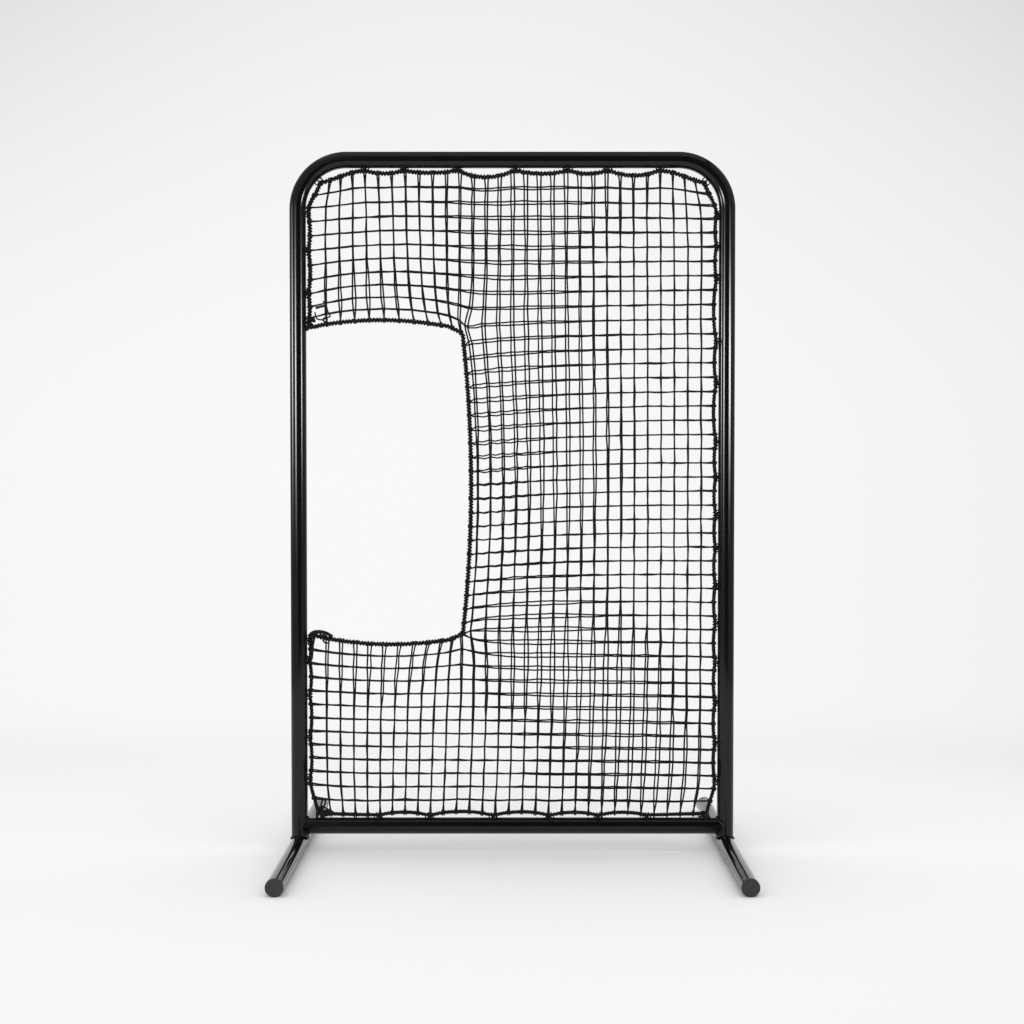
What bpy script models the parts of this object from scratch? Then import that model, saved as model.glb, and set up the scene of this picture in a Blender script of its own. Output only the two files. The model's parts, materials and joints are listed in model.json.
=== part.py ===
"""Pitching screen with a C-shaped net: a bent tube hoop and a crossbar welded to two foot tubes,
and a net of two layers on a border rope that is lashed to small welded eyelets.

Run it with: blender --background --python part.py
Metres, +Z up, seen from the batter's side along +Y. The origin is on the ground, under the
middle of the frame. Net, rope, eyelets and ties lie on the frame's middle plane, y = 0.
"""

import math

import bmesh
import bpy
from mathutils import Matrix, Vector

# Frame
OVERALL_WIDTH = 1.372
OVERALL_HEIGHT = 2.159
FOOT_LENGTH = 1.168
TUBE_DIAMETER = 0.0508
TUBE_WALL = 0.00165
BEND_RADIUS = 0.150
EAR_TRIM = 0.010

# Plug caps in the foot tubes
CAP_PROUD = 0.0008
CAP_RIM = 0.005
CAP_EDGE = 0.0015
CAP_STEM = 0.022
CAP_WALL = 0.0025

# Weld beads
BEAD_DIAMETER = 0.005

# Eyelets: low staples of round wire, welded along the inner side of the tubes
EYELET_WIRE = 0.004
EYELET_LENGTH = 0.024
EYELET_SETBACK = 0.010

# Border rope and its ties
ROPE_DIAMETER = 0.0115
ROPE_SAG_SHARE = 0.07
ROPE_CORNER_CUT = 0.010
TIE_CORD = 0.0018
TIE_WIDTH = 0.008
TIE_GRIP = 0.0015
TOP_CORNER_SLACK = 0.004
BOTTOM_CORNER_INSET = 0.058
BOTTOM_CORNER_LIFT = 0.038

# Runs of net between two ties, counted in meshes, from one corner to the next
TOP_TIE_STEPS = (3.35, 3, 4, 4.5, 4, 3, 4, 3.35)
RIGHT_TIE_STEPS = (2.2, 2.2, 2.3, 4.4, 2.9, 4.1, 2.5, 2.6, 2.4, 2.6, 2.7, 2.8, 2.8, 2.9, 2.7, 2.3)
BOTTOM_TIE_STEPS = (4.3, 3.5, 3.5, 4.1, 4.6, 3.7, 4.3)
LEFT_LOWER_TIE_STEPS = (2.5, 3, 3, 2.5, 1.5)
LEFT_UPPER_TIE_STEPS = (2.1, 3.1, 2.8, 2.1)

# Net and its opening: heights are from the crossbar's and the top bar's centrelines
LOWER_NET_HEIGHT = 0.594
UPPER_NET_HEIGHT = 0.513
OPENING_DEPTH = 0.507
OPENING_BOW = 0.026
OPENING_LEAN = 0.007
OPENING_CORNER_DROP = 0.018
OPENING_CORNER_RISE = 0.003
NET_MESH = 0.125
NET_TWINE = 0.0035
NET_STRAND = 0.0045

CLEARANCE = 0.0003

# Facets of the round pieces
TUBE_SIDES = 20
WIRE_SIDES = 6
BEND_STEPS = 10
BEAD_POINTS = 20
ROPE_POINTS = 3
EDGE_POINTS = 8
TIE_ROPE_POINTS = 6
TIE_WIRE_POINTS = 4
CORD_RESOLUTION = 1
SHARP_ANGLE = math.radians(30)

# Sizes that follow from the ones above
TUBE_RADIUS = TUBE_DIAMETER / 2
BORE_RADIUS = TUBE_RADIUS - TUBE_WALL
ROPE_RADIUS = ROPE_DIAMETER / 2
WIRE_RADIUS = EYELET_WIRE / 2
HALF_FACET = math.pi / TUBE_SIDES
CAP_RADIUS = TUBE_RADIUS + CAP_PROUD
FOOT_Z = CAP_RADIUS
CROSSBAR_Z = FOOT_Z + TUBE_DIAMETER
TOP_Z = OVERALL_HEIGHT - TUBE_RADIUS
POST_X = OVERALL_WIDTH / 2 - TUBE_RADIUS
BACK = Vector((0, 1, 0))

# A tie's two round ends, the larger round the rope and the smaller round the eyelet's wire,
# and the most that an end's facets are pushed out
TIE_ROPE_HOLE = ROPE_RADIUS + CLEARANCE
TIE_WIRE_HOLE = WIRE_RADIUS + CLEARANCE
TIE_ROUNDING = 1 / math.cos(math.pi / (TIE_ROPE_POINTS - 1))
TIE_ROPE_REACH = TUBE_RADIUS + CLEARANCE + TIE_ROPE_HOLE + TIE_CORD
EYELET_REACH = TUBE_RADIUS + CLEARANCE + (TIE_WIRE_HOLE + TIE_CORD) * TIE_ROUNDING
EYELET_LEAN = math.asin(EYELET_SETBACK / EYELET_REACH)

# The net's outer strands clear the ties
NET_REACH = TIE_ROPE_REACH + TIE_ROPE_HOLE + TIE_CORD + CLEARANCE + NET_STRAND
NET_LEFT = -(POST_X - NET_REACH)
NET_RIGHT = POST_X - NET_REACH
NET_TOP = TOP_Z - NET_REACH
NET_BOTTOM = CROSSBAR_Z + NET_REACH
NET_OFFSET = ROPE_RADIUS + CLEARANCE + NET_TWINE / 2

# The opening's rope: its height at the post, above and below, and its inner corners
OPENING_TOP = TOP_Z - UPPER_NET_HEIGHT
OPENING_BOTTOM = CROSSBAR_Z + LOWER_NET_HEIGHT
OPENING_INNER = -POST_X + OPENING_DEPTH
INNER_TOP = OPENING_TOP - OPENING_CORNER_DROP
INNER_BOTTOM = OPENING_BOTTOM + OPENING_CORNER_RISE
TIE_STUB = TIE_WIDTH / 2 + TIE_GRIP


def material(name, colour, roughness, metallic=0.0):
    """One plain finish."""
    finish = bpy.data.materials.new(name)
    finish.use_nodes = True
    shader = finish.node_tree.nodes["Principled BSDF"]
    shader.inputs["Base Color"].default_value = (*colour, 1.0)
    shader.inputs["Roughness"].default_value = roughness
    shader.inputs["Metallic"].default_value = metallic
    return finish


def clear_scene():
    """Leaves an empty scene."""
    for old in list(bpy.data.objects):
        bpy.data.objects.remove(old)


def add_object(name, data, finish, place=None):
    """Links one named object, at its place if it has one."""
    piece = bpy.data.objects.new(name, data)
    bpy.context.scene.collection.objects.link(piece)
    if not data.materials:
        data.materials.append(finish)
    if place is not None:
        piece.matrix_world = place
    return piece


def add_guide(name, data):
    """Links a cutter or a blank, which isn't a piece of the screen."""
    guide = bpy.data.objects.new(name, data)
    bpy.context.scene.collection.objects.link(guide)
    guide.hide_render = True
    guide.display_type = "WIRE"
    return guide


def boolean(piece, guide, operation):
    """Cuts the guide from the piece, or joins it on."""
    step = piece.modifiers.new(guide.name, "BOOLEAN")
    step.operation = operation
    step.object = guide
    step.solver = "EXACT"


def round_section(centre, across, up, radius, sides, turn=0.0):
    """Points round one section of a tube or rod."""
    points = []
    for k in range(sides):
        angle = turn + 2 * math.pi * k / sides
        points.append(centre + radius * (math.cos(angle) * across + math.sin(angle) * up))
    return points


def skin(bm, rings, cyclic):
    """Covers a row of sections with faces: a closed row makes a ring, an open one gets end faces."""
    rows = [[bm.verts.new(point) for point in ring] for ring in rings]
    count = len(rows[0])
    pairs = list(zip(rows, rows[1:]))
    if cyclic:
        pairs.append((rows[-1], rows[0]))
    else:
        bm.faces.new(rows[0])
        bm.faces.new(rows[-1])
    for one, other in pairs:
        for k in range(count):
            after = (k + 1) % count
            bm.faces.new((one[k], one[after], other[after], other[k]))


def finished_mesh(name, bm, smooth=True):
    """Turns bmesh geometry into a mesh with its faces pointing out."""
    bmesh.ops.recalc_face_normals(bm, faces=bm.faces)
    mesh = bpy.data.meshes.new(name)
    bm.to_mesh(mesh)
    bm.free()
    if smooth:
        mesh.shade_smooth()
        mesh.set_sharp_from_angle(angle=SHARP_ANGLE)
    return mesh


def skinned_mesh(name, rings, cyclic):
    """A mesh from one row of sections."""
    bm = bmesh.new()
    skin(bm, rings, cyclic)
    return finished_mesh(name, bm)


def straight_tube_rings(start, end, across, radius, turn=0.0):
    """The two end sections of a straight tube."""
    along = (end - start).normalized()
    up = across.cross(along)
    return [round_section(point, across, up, radius, TUBE_SIDES, turn) for point in (start, end)]


def hollow_rings(outer, inner):
    """Outer sections one way and inner ones back, which closes into a tube with a wall."""
    return outer + list(reversed(inner))


def hoop_path():
    """Centreline of the hoop, from the left post's lower end over the top to the right post's."""
    left = [Vector((-POST_X, 0, FOOT_Z + EAR_TRIM))]
    for i in range(BEND_STEPS + 1):
        angle = math.pi - math.pi / 2 * i / BEND_STEPS
        left.append(bend_centre(-1) + BEND_RADIUS * Vector((math.cos(angle), 0, math.sin(angle))))
    right = [Vector((-point.x, 0, point.z)) for point in reversed(left)]
    return left + right


def bend_centre(side):
    """Centre of the left (-1) or right (1) bend."""
    return Vector((side * (POST_X - BEND_RADIUS), 0, TOP_Z - BEND_RADIUS))


def bent_rings(path, radius):
    """Sections along a path that lies in the frame's plane."""
    rings = []
    for i, point in enumerate(path):
        before = path[max(i - 1, 0)]
        after = path[min(i + 1, len(path) - 1)]
        along = ((after - point).normalized() + (point - before).normalized()).normalized()
        rings.append(round_section(point, along.cross(BACK), BACK, radius, TUBE_SIDES))
    return rings


def cope_cutter(name, start, end, across, turn):
    """What a neighbour's end is cut to: the tube that it meets, with the clearance all round."""
    radius = TUBE_RADIUS + CLEARANCE / math.cos(HALF_FACET)
    rings = straight_tube_rings(start, end, across, radius, turn)
    return add_guide(name, skinned_mesh(name, rings, False))


class TieSite:
    """One place where the rope is lashed: a name, the point on the tube's centreline, the way in."""

    def __init__(self, name, centre, inward, slack=0.0):
        self.name = name
        self.centre = centre
        self.inward = inward.normalized()
        self.slack = slack
        turn = math.atan2(self.inward.x, self.inward.z)
        self.place = Matrix.Translation(centre) @ Matrix.Rotation(turn, 4, "Y")

    def rope_point(self):
        """Where the rope's centreline passes."""
        return self.centre + self.inward * (TIE_ROPE_REACH + self.slack)


def shares(steps):
    """How far along a side each tie stands, from the meshes between them."""
    total = sum(steps)
    return [sum(steps[:i + 1]) / total for i in range(len(steps) - 1)]


def top_corner_site(side):
    """The tie on a bend, halfway round it."""
    outward = Vector((side, 0, 1)).normalized()
    name = "tie_corner_left" if side < 0 else "tie_corner_right"
    centre = bend_centre(side) + outward * BEND_RADIUS
    return TieSite(name, centre, -outward, TOP_CORNER_SLACK)


def bottom_corner(side):
    """The rope's lower corner, which hangs free beside the post."""
    return Vector((side * (POST_X - BOTTOM_CORNER_INSET), 0, CROSSBAR_Z + BOTTOM_CORNER_LIFT))


def opening_tie_height(side):
    """Height of the tie next to the opening: above it for 1, below it for -1."""
    edge = OPENING_TOP if side > 0 else OPENING_BOTTOM
    return edge + side * (ROPE_CORNER_CUT + TIE_STUB)


def tie_row(name, start, end, inward, places):
    """The ties along one straight tube, at shares of the way between two points of its centreline."""
    return [
        TieSite(f"{name}_{i + 1}", start.lerp(end, share), inward)
        for i, share in enumerate(places)
    ]


def side_sites():
    """The ties of each side, in the rope's order: clockwise from the left bend."""
    left_corner = top_corner_site(-1)
    right_corner = top_corner_site(1)
    bar = Vector((0, 0, TOP_Z))
    crossbar = Vector((0, 0, CROSSBAR_Z))
    post = Vector((POST_X, 0, 0))
    right = Vector((1, 0, 0))
    up = Vector((0, 0, 1))
    high = right_corner.rope_point()
    low = bottom_corner(1)
    high_x = right * high.x
    high_z = up * high.z
    low_x = right * low.x
    low_z = up * low.z
    below = up * opening_tie_height(-1)
    above = up * opening_tie_height(1)
    lower_places = shares(LEFT_LOWER_TIE_STEPS) + [1]
    upper_places = [0] + shares(LEFT_UPPER_TIE_STEPS)
    return {
        "left_corner": [left_corner],
        "top": tie_row("tie_top", bar - high_x, bar + high_x, -up, shares(TOP_TIE_STEPS)),
        "right_corner": [right_corner],
        "right": tie_row("tie_right", post + high_z, post + low_z, -right, shares(RIGHT_TIE_STEPS)),
        "bottom": tie_row("tie_bottom", crossbar + low_x, crossbar - low_x, up, shares(BOTTOM_TIE_STEPS)),
        "left_lower": tie_row("tie_left_lower", low_z - post, below - post, right, lower_places),
        "left_upper": tie_row("tie_left_upper", above - post, high_z - post, right, upper_places),
    }


def bow(share):
    """A shallow arch, 0 at both ends and 1 in the middle."""
    share = min(max(share, 0.0), 1.0)
    return 4 * share * (1 - share)


def edge_share(x):
    """How far along the opening's upper or lower edge a place is, from the post."""
    return min(max((x - NET_LEFT) / (OPENING_INNER - NET_LEFT), 0.0), 1.0)


def upper_edge(x):
    """Height of the opening's upper edge."""
    share = edge_share(x)
    return OPENING_TOP - OPENING_LEAN * share + OPENING_BOW * bow(share)


def lower_edge(x):
    """Height of the opening's lower edge."""
    share = edge_share(x)
    return OPENING_BOTTOM - OPENING_LEAN * share - OPENING_BOW * bow(share)


def inner_edge(z):
    """Place of the opening's inner edge across the frame."""
    return OPENING_INNER + OPENING_BOW * bow((z - INNER_BOTTOM) / (INNER_TOP - INNER_BOTTOM))


def sagging(start, end, inward, share):
    """Points of a slack run of rope between two ties."""
    points = []
    for i in range(ROPE_POINTS):
        t = (i + 1) / (ROPE_POINTS + 1)
        sag = share * (end - start).length * bow(t)
        points.append(start.lerp(end, t) + inward * sag)
    return points


def rounded_corner(before, corner, after):
    """Three points that take the rope round a corner."""
    start = corner + (before - corner).normalized() * ROPE_CORNER_CUT
    end = corner + (after - corner).normalized() * ROPE_CORNER_CUT
    return [start, (start + end) / 4 + corner / 2, end]


def tied_run(sites, along):
    """The rope past a row of ties: straight at each, slack between two."""
    points = []
    for i, site in enumerate(sites):
        if i > 0:
            start = sites[i - 1].rope_point() + along * TIE_STUB
            end = site.rope_point() - along * TIE_STUB
            points += sagging(start, end, site.inward, ROPE_SAG_SHARE)
        points += [site.rope_point() - along * TIE_STUB, site.rope_point() + along * TIE_STUB]
    return points


def rope_path(sites):
    """Centreline of the border rope, once round the net and the opening."""
    right = Vector((1, 0, 0))
    up = Vector((0, 0, 1))
    top_left = sites["left_corner"][0]
    top_right = sites["right_corner"][0]
    points = tied_run([top_left], (right + up).normalized())
    points += tied_run(sites["top"], right)
    points += tied_run([top_right], (right - up).normalized())
    points += tied_run(sites["right"], -up)
    points += rounded_corner(points[-1], bottom_corner(1), sites["bottom"][0].rope_point())
    points += tied_run(sites["bottom"], -right)
    points += rounded_corner(points[-1], bottom_corner(-1), sites["left_lower"][0].rope_point())
    points += tied_run(sites["left_lower"], up)
    points += opening_path(points[-1].x)
    points += tied_run(sites["left_upper"], up)
    return points


def opening_path(post_side):
    """The rope round the opening, from its lower corner at the post to its upper one."""
    low_post = Vector((post_side, 0, OPENING_BOTTOM))
    high_post = Vector((post_side, 0, OPENING_TOP))
    low_inner = Vector((OPENING_INNER, 0, INNER_BOTTOM))
    high_inner = Vector((OPENING_INNER, 0, INNER_TOP))
    inside = [(i + 1) / (EDGE_POINTS + 1) for i in range(EDGE_POINTS)]
    across = [post_side + (OPENING_INNER - post_side) * t for t in inside]
    upwards = [INNER_BOTTOM + (INNER_TOP - INNER_BOTTOM) * t for t in inside]
    lower = [Vector((x, 0, lower_edge(x))) for x in across]
    inner = [Vector((inner_edge(z), 0, z)) for z in upwards]
    upper = [Vector((x, 0, upper_edge(x))) for x in reversed(across)]
    below = low_post - Vector((0, 0, 1))
    points = rounded_corner(below, low_post, lower[0])
    points += lower
    points += rounded_corner(lower[-1], low_inner, inner[0])
    points += inner
    points += rounded_corner(inner[-1], high_inner, upper[0])
    points += upper
    above = high_post + Vector((0, 0, 1))
    points += rounded_corner(upper[-1], high_post, above)
    return points


def tie_outline(rope_centre, wire_centre, rope_radius, wire_radius):
    """A band's outline round two circles, in the tie's own plane: y back, z away from the tube."""
    apart = wire_centre - rope_centre
    heading = math.atan2(apart.y, apart.x)
    opening = math.acos((rope_radius - wire_radius) / apart.length)
    points = []
    around = 2 * (math.pi - opening)
    for k in range(TIE_ROPE_POINTS):
        angle = heading + opening + around * k / (TIE_ROPE_POINTS - 1)
        reach = rope_radius if k in (0, TIE_ROPE_POINTS - 1) else rope_radius * bulge(around, TIE_ROPE_POINTS)
        points.append(rope_centre + reach * Vector((math.cos(angle), math.sin(angle))))
    around = 2 * opening
    for k in range(TIE_WIRE_POINTS):
        angle = heading - opening + around * k / (TIE_WIRE_POINTS - 1)
        reach = wire_radius if k in (0, TIE_WIRE_POINTS - 1) else wire_radius * bulge(around, TIE_WIRE_POINTS)
        points.append(wire_centre + reach * Vector((math.cos(angle), math.sin(angle))))
    return points


def bulge(around, count):
    """How much a circle's facets are pushed out, so that they stay clear of what they go round."""
    return 1 / math.cos(around / (count - 1) / 2)


def tie_mesh(name, slack):
    """A lashing, as one band round the rope and the eyelet's wire."""
    rope_centre = Vector((0, TIE_ROPE_REACH + slack))
    wire = EYELET_REACH + slack
    wire_centre = Vector((wire * math.sin(EYELET_LEAN), wire * math.cos(EYELET_LEAN)))
    inner = tie_outline(rope_centre, wire_centre, TIE_ROPE_HOLE, TIE_WIRE_HOLE)
    outer = tie_outline(rope_centre, wire_centre, TIE_ROPE_HOLE + TIE_CORD, TIE_WIRE_HOLE + TIE_CORD)
    half = TIE_WIDTH / 2
    rings = [
        [Vector((side, point.x, point.y)) for point in outline]
        for outline, side in ((outer, -half), (outer, half), (inner, half), (inner, -half))
    ]
    return skinned_mesh(name, rings, True)


def eyelet_path(slack):
    """A staple's centreline: up from the tube's wall, along it and down again."""
    lean = Vector((0, math.sin(EYELET_LEAN), math.cos(EYELET_LEAN)))
    root = lean * (TUBE_RADIUS - TUBE_WALL / 2)
    crown = lean * (EYELET_REACH + slack)
    half = Vector((EYELET_LENGTH / 2, 0, 0))
    return [root - half, crown - half, crown + half, root + half]


def rod_rings(path, radius, across):
    """Sections of a bent rod, mitred at its corners. across is square to the path's plane."""
    rings = []
    for i, point in enumerate(path):
        before = (point - path[i - 1]).normalized() if i > 0 else None
        after = (path[i + 1] - point).normalized() if i < len(path) - 1 else None
        before = before or after
        after = after or before
        along = (before + after).normalized()
        side = along.cross(across) / along.dot(after)
        rings.append(round_section(point, side, across, radius, WIRE_SIDES))
    return rings


def eyelet_blanks(name, sites):
    """The staples of one tube, which are welded on."""
    bm = bmesh.new()
    for site in sites:
        path = [site.place @ point for point in eyelet_path(site.slack)]
        across = (path[1] - path[0]).cross(path[2] - path[1]).normalized()
        skin(bm, rod_rings(path, WIRE_RADIUS, across), False)
    return add_guide(name, finished_mesh(name, bm))


def cord_curve(name, points, diameter, finish):
    """A closed loop of round cord or bead through the points."""
    curve = bpy.data.curves.new(name, "CURVE")
    curve.dimensions = "3D"
    curve.bevel_depth = diameter / 2
    curve.bevel_resolution = CORD_RESOLUTION
    spline = curve.splines.new("POLY")
    spline.points.add(len(points) - 1)
    for target, point in zip(spline.points, points):
        target.co = (*point, 1.0)
    spline.use_cyclic_u = True
    return add_object(name, curve, finish)


def bead_points(centre, stub, saddle, across):
    """A weld bead where one tube stands on another of the same size.

    stub points along the standing tube, saddle along the one it meets and across square to both.
    """
    facets = (TUBE_RADIUS + BEAD_DIAMETER / 2) * (1 - math.cos(math.pi / BEAD_POINTS))
    reach = TUBE_RADIUS + BEAD_DIAMETER / 2 + CLEARANCE + facets
    points = []
    for k in range(BEAD_POINTS):
        angle = 2 * math.pi * (k + 0.5) / BEAD_POINTS
        height = math.hypot(reach * math.sin(angle), EAR_TRIM * math.cos(angle))
        points.append(centre + reach * (math.cos(angle) * across + math.sin(angle) * saddle) + height * stub)
    return points


def cap_mesh():
    """A ribless plug cap about +Y, with its face at y = 0 and its stem towards +Y."""
    stem = BORE_RADIUS * math.cos(HALF_FACET) - CLEARANCE
    profile = (
        (0, CAP_RADIUS - CAP_EDGE),
        (CAP_EDGE, CAP_RADIUS),
        (CAP_RIM, CAP_RADIUS),
        (CAP_RIM, stem),
        (CAP_RIM + CAP_STEM, stem),
        (CAP_RIM + CAP_STEM, stem - CAP_WALL),
        (CAP_RIM, stem - CAP_WALL),
    )
    across = Vector((1, 0, 0))
    up = Vector((0, 0, 1))
    rings = []
    for depth, radius in profile:
        corner_radius = radius / math.cos(HALF_FACET)
        rings.append(round_section(Vector((0, depth, 0)), across, up, corner_radius, TUBE_SIDES, HALF_FACET))
    return skinned_mesh("plug_cap", rings, False)


def foot_mesh():
    """A foot tube along Y, with a flat of its facets downwards."""
    half = FOOT_LENGTH / 2 - CAP_RIM - CLEARANCE
    start = Vector((0, -half, 0))
    end = Vector((0, half, 0))
    across = Vector((1, 0, 0))
    outer = straight_tube_rings(start, end, across, TUBE_RADIUS, HALF_FACET)
    inner = straight_tube_rings(start, end, across, BORE_RADIUS, HALF_FACET)
    return skinned_mesh("foot_tube", hollow_rings(outer, inner), True)


def grid_lines(start, end, pitch):
    """Evenly spaced lines from start to end, about a pitch apart, with both ends."""
    count = max(2, round(abs(end - start) / pitch))
    return [start + (end - start) * i / count for i in range(count + 1)]


def net_grid():
    """Crossings of the net's strands, by column and row, and where the opening's rows and column are."""
    columns = grid_lines(NET_LEFT, OPENING_INNER, NET_MESH)
    inner_column = len(columns) - 1
    columns += grid_lines(OPENING_INNER, NET_RIGHT, NET_MESH)[1:]
    rows = grid_lines(NET_BOTTOM, OPENING_BOTTOM, NET_MESH)
    low_row = len(rows) - 1
    rows += grid_lines(OPENING_BOTTOM, OPENING_TOP, NET_MESH)[1:]
    high_row = len(rows) - 1
    rows += grid_lines(OPENING_TOP, NET_TOP, NET_MESH)[1:]
    crossings = {}
    for j, x in enumerate(columns):
        for i, z in enumerate(rows):
            if j < inner_column and low_row < i < high_row:
                continue
            crossings[j, i] = warped(x, z)
    for j, side in ((0, -1), (len(columns) - 1, 1)):
        crossings[j, len(rows) - 1] = net_top_corner(side)
        crossings[j, 0] = bottom_corner(side) + Vector((-side, 0, 1)) * ROPE_RADIUS
    return crossings, inner_column, low_row, high_row


def net_top_corner(side):
    """The net's upper corner, drawn in under the bend."""
    site = top_corner_site(side)
    return site.centre + site.inward * (NET_REACH + site.slack + NET_STRAND)


def warped(x, z):
    """A crossing of the even grid, moved along with the opening's bowed edges."""
    level = (z - OPENING_BOTTOM) / (OPENING_TOP - OPENING_BOTTOM)
    to_right = min(1.0, (NET_RIGHT - x) / (NET_RIGHT - OPENING_INNER))
    to_top = (NET_TOP - z) / (NET_TOP - OPENING_TOP)
    to_bottom = (z - NET_BOTTOM) / (OPENING_BOTTOM - NET_BOTTOM)
    lift = (upper_edge(x) - OPENING_TOP) * min(to_top, 1.0, max(level, 0.0)) * to_right
    lift += (lower_edge(x) - OPENING_BOTTOM) * min(to_bottom, 1.0, max(1 - level, 0.0))
    shift = (inner_edge(z) - OPENING_INNER) * to_right if x >= OPENING_INNER - CLEARANCE else 0.0
    return Vector((x + shift, 0, z + lift))


def net_mesh(name, middle):
    """One layer of the net, its strands joined at the crossings."""
    crossings, inner_column, low_row, high_row = net_grid()
    half = NET_STRAND / 2
    bm = bmesh.new()
    corners = {}
    for key, centre in crossings.items():
        for x in (-1, 1):
            for z in (-1, 1):
                for y in (-1, 1):
                    place = centre + Vector((x * half, middle + y * NET_TWINE / 2, z * half))
                    corners[key, x, z, y] = bm.verts.new(place)

    def strip(one, other, side_one, side_other):
        """A strand between the facing sides of two crossings: front, back and both edges."""
        a, b = [(one, *side) for side in side_one]
        d, c = [(other, *side) for side in side_other]
        for y in (-1, 1):
            bm.faces.new([corners[(*corner, y)] for corner in (a, b, c, d)])
        for near, far in ((a, d), (b, c)):
            edge = ((*near, -1), (*near, 1), (*far, 1), (*far, -1))
            bm.faces.new([corners[corner] for corner in edge])

    right_side = ((1, -1), (1, 1))
    left_side = ((-1, -1), (-1, 1))
    top_side = ((-1, 1), (1, 1))
    bottom_side = ((-1, -1), (1, -1))
    for key in crossings:
        j, i = key
        for y in (-1, 1):
            square = ((-1, -1), (1, -1), (1, 1), (-1, 1))
            bm.faces.new([corners[(key, *side, y)] for side in square])
        neighbours = (
            ((j + 1, i), right_side, left_side),
            ((j - 1, i), left_side, right_side),
            ((j, i + 1), top_side, bottom_side),
            ((j, i - 1), bottom_side, top_side),
        )
        for other, mine, its in neighbours:
            across_opening = j < inner_column and other[0] == j and low_row <= min(i, other[1]) < high_row
            if other in crossings and not across_opening:
                if other > key:
                    strip(key, other, mine, its)
            else:
                edge = [(key, *mine[0], -1), (key, *mine[0], 1), (key, *mine[1], 1), (key, *mine[1], -1)]
                bm.faces.new([corners[corner] for corner in edge])
    return finished_mesh(name, bm, smooth=False)


def build_frame(sites, coat, cap_plastic, weld):
    """Hoop, crossbar, feet, caps and weld beads."""
    path = hoop_path()
    rings = hollow_rings(bent_rings(path, TUBE_RADIUS), bent_rings(path, BORE_RADIUS))
    hoop = add_object("frame_hoop", skinned_mesh("frame_hoop", rings, True), coat)
    right = Vector((1, 0, 0))
    up = Vector((0, 0, 1))
    foot = foot_mesh()
    cap = cap_mesh()
    crossbar_end = Vector((POST_X - EAR_TRIM, 0, CROSSBAR_Z))
    crossbar_start = Vector((-crossbar_end.x, 0, CROSSBAR_Z))
    outer = straight_tube_rings(crossbar_start, crossbar_end, BACK, TUBE_RADIUS)
    inner = straight_tube_rings(crossbar_start, crossbar_end, BACK, BORE_RADIUS)
    rings = hollow_rings(outer, inner)
    crossbar = add_object("bottom_crossbar", skinned_mesh("bottom_crossbar", rings, True), coat)
    for name, side in (("left", -1), ("right", 1)):
        ground = Vector((side * POST_X, 0, FOOT_Z))
        add_object(f"{name}_foot", foot, coat, Matrix.Translation(ground))
        reach = BACK * TUBE_DIAMETER
        cutter = cope_cutter(f"{name}_foot_cutter", ground - reach, ground + reach, right, HALF_FACET)
        boolean(hoop, cutter, "DIFFERENCE")
        joint = Vector((side * POST_X, 0, CROSSBAR_Z))
        reach = up * TUBE_DIAMETER
        cutter = cope_cutter(f"{name}_post_cutter", joint - reach, joint + reach, right, 0.0)
        boolean(crossbar, cutter, "DIFFERENCE")
        for end, facing in (("front", -1), ("rear", 1)):
            face = ground + BACK * facing * FOOT_LENGTH / 2
            turn = Matrix.Rotation(math.pi if facing > 0 else 0.0, 4, "Z")
            add_object(f"{end}_{name}_cap", cap, cap_plastic, Matrix.Translation(face) @ turn)
        cord_curve(f"{name}_foot_weld", bead_points(ground, up, BACK, right), BEAD_DIAMETER, weld)
        inward = Vector((-side, 0, 0))
        cord_curve(f"{name}_crossbar_weld", bead_points(joint, inward, up, BACK), BEAD_DIAMETER, weld)
    hoop_sites = [site for key, row in sites.items() if key != "bottom" for site in row]
    boolean(hoop, eyelet_blanks("hoop_eyelets", hoop_sites), "UNION")
    boolean(crossbar, eyelet_blanks("crossbar_eyelets", sites["bottom"]), "UNION")


def build_net(sites, twine, cord):
    """Both net layers, the border rope between them and its ties."""
    add_object("front_net", net_mesh("front_net", -NET_OFFSET), twine)
    add_object("rear_net", net_mesh("rear_net", NET_OFFSET), twine)
    cord_curve("border_rope", rope_path(sites), ROPE_DIAMETER, cord)
    plain = tie_mesh("tie", 0.0)
    corner = tie_mesh("corner_tie", TOP_CORNER_SLACK)
    for row in sites.values():
        for site in row:
            add_object(site.name, corner if site.slack else plain, cord, site.place)


def main():
    clear_scene()
    coat = material("powder_coat", (0.012, 0.012, 0.013), 0.30, 0.0)
    weld = material("coated_weld", (0.016, 0.016, 0.017), 0.35, 0.0)
    cap_plastic = material("cap_plastic", (0.035, 0.036, 0.038), 0.60)
    twine = material("net_twine", (0.010, 0.010, 0.011), 0.75)
    cord = material("rope_cord", (0.011, 0.011, 0.012), 0.80)
    sites = side_sites()
    build_frame(sites, coat, cap_plastic, weld)
    build_net(sites, twine, cord)


main()
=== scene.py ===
"""Looks of a pitching screen with a C-shaped net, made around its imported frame.

Metres, +Z up, seen from the batter's side along +Y. The net's two layers hang on a laid rope,
which is lashed to small welded eyelets inside a powder-coated tube frame.
"""

import json
import math

import bmesh
import bpy
import numpy as np
from bpy.props import FloatProperty, FloatVectorProperty, IntProperty, PointerProperty
from mathutils import Matrix, Vector

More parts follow.
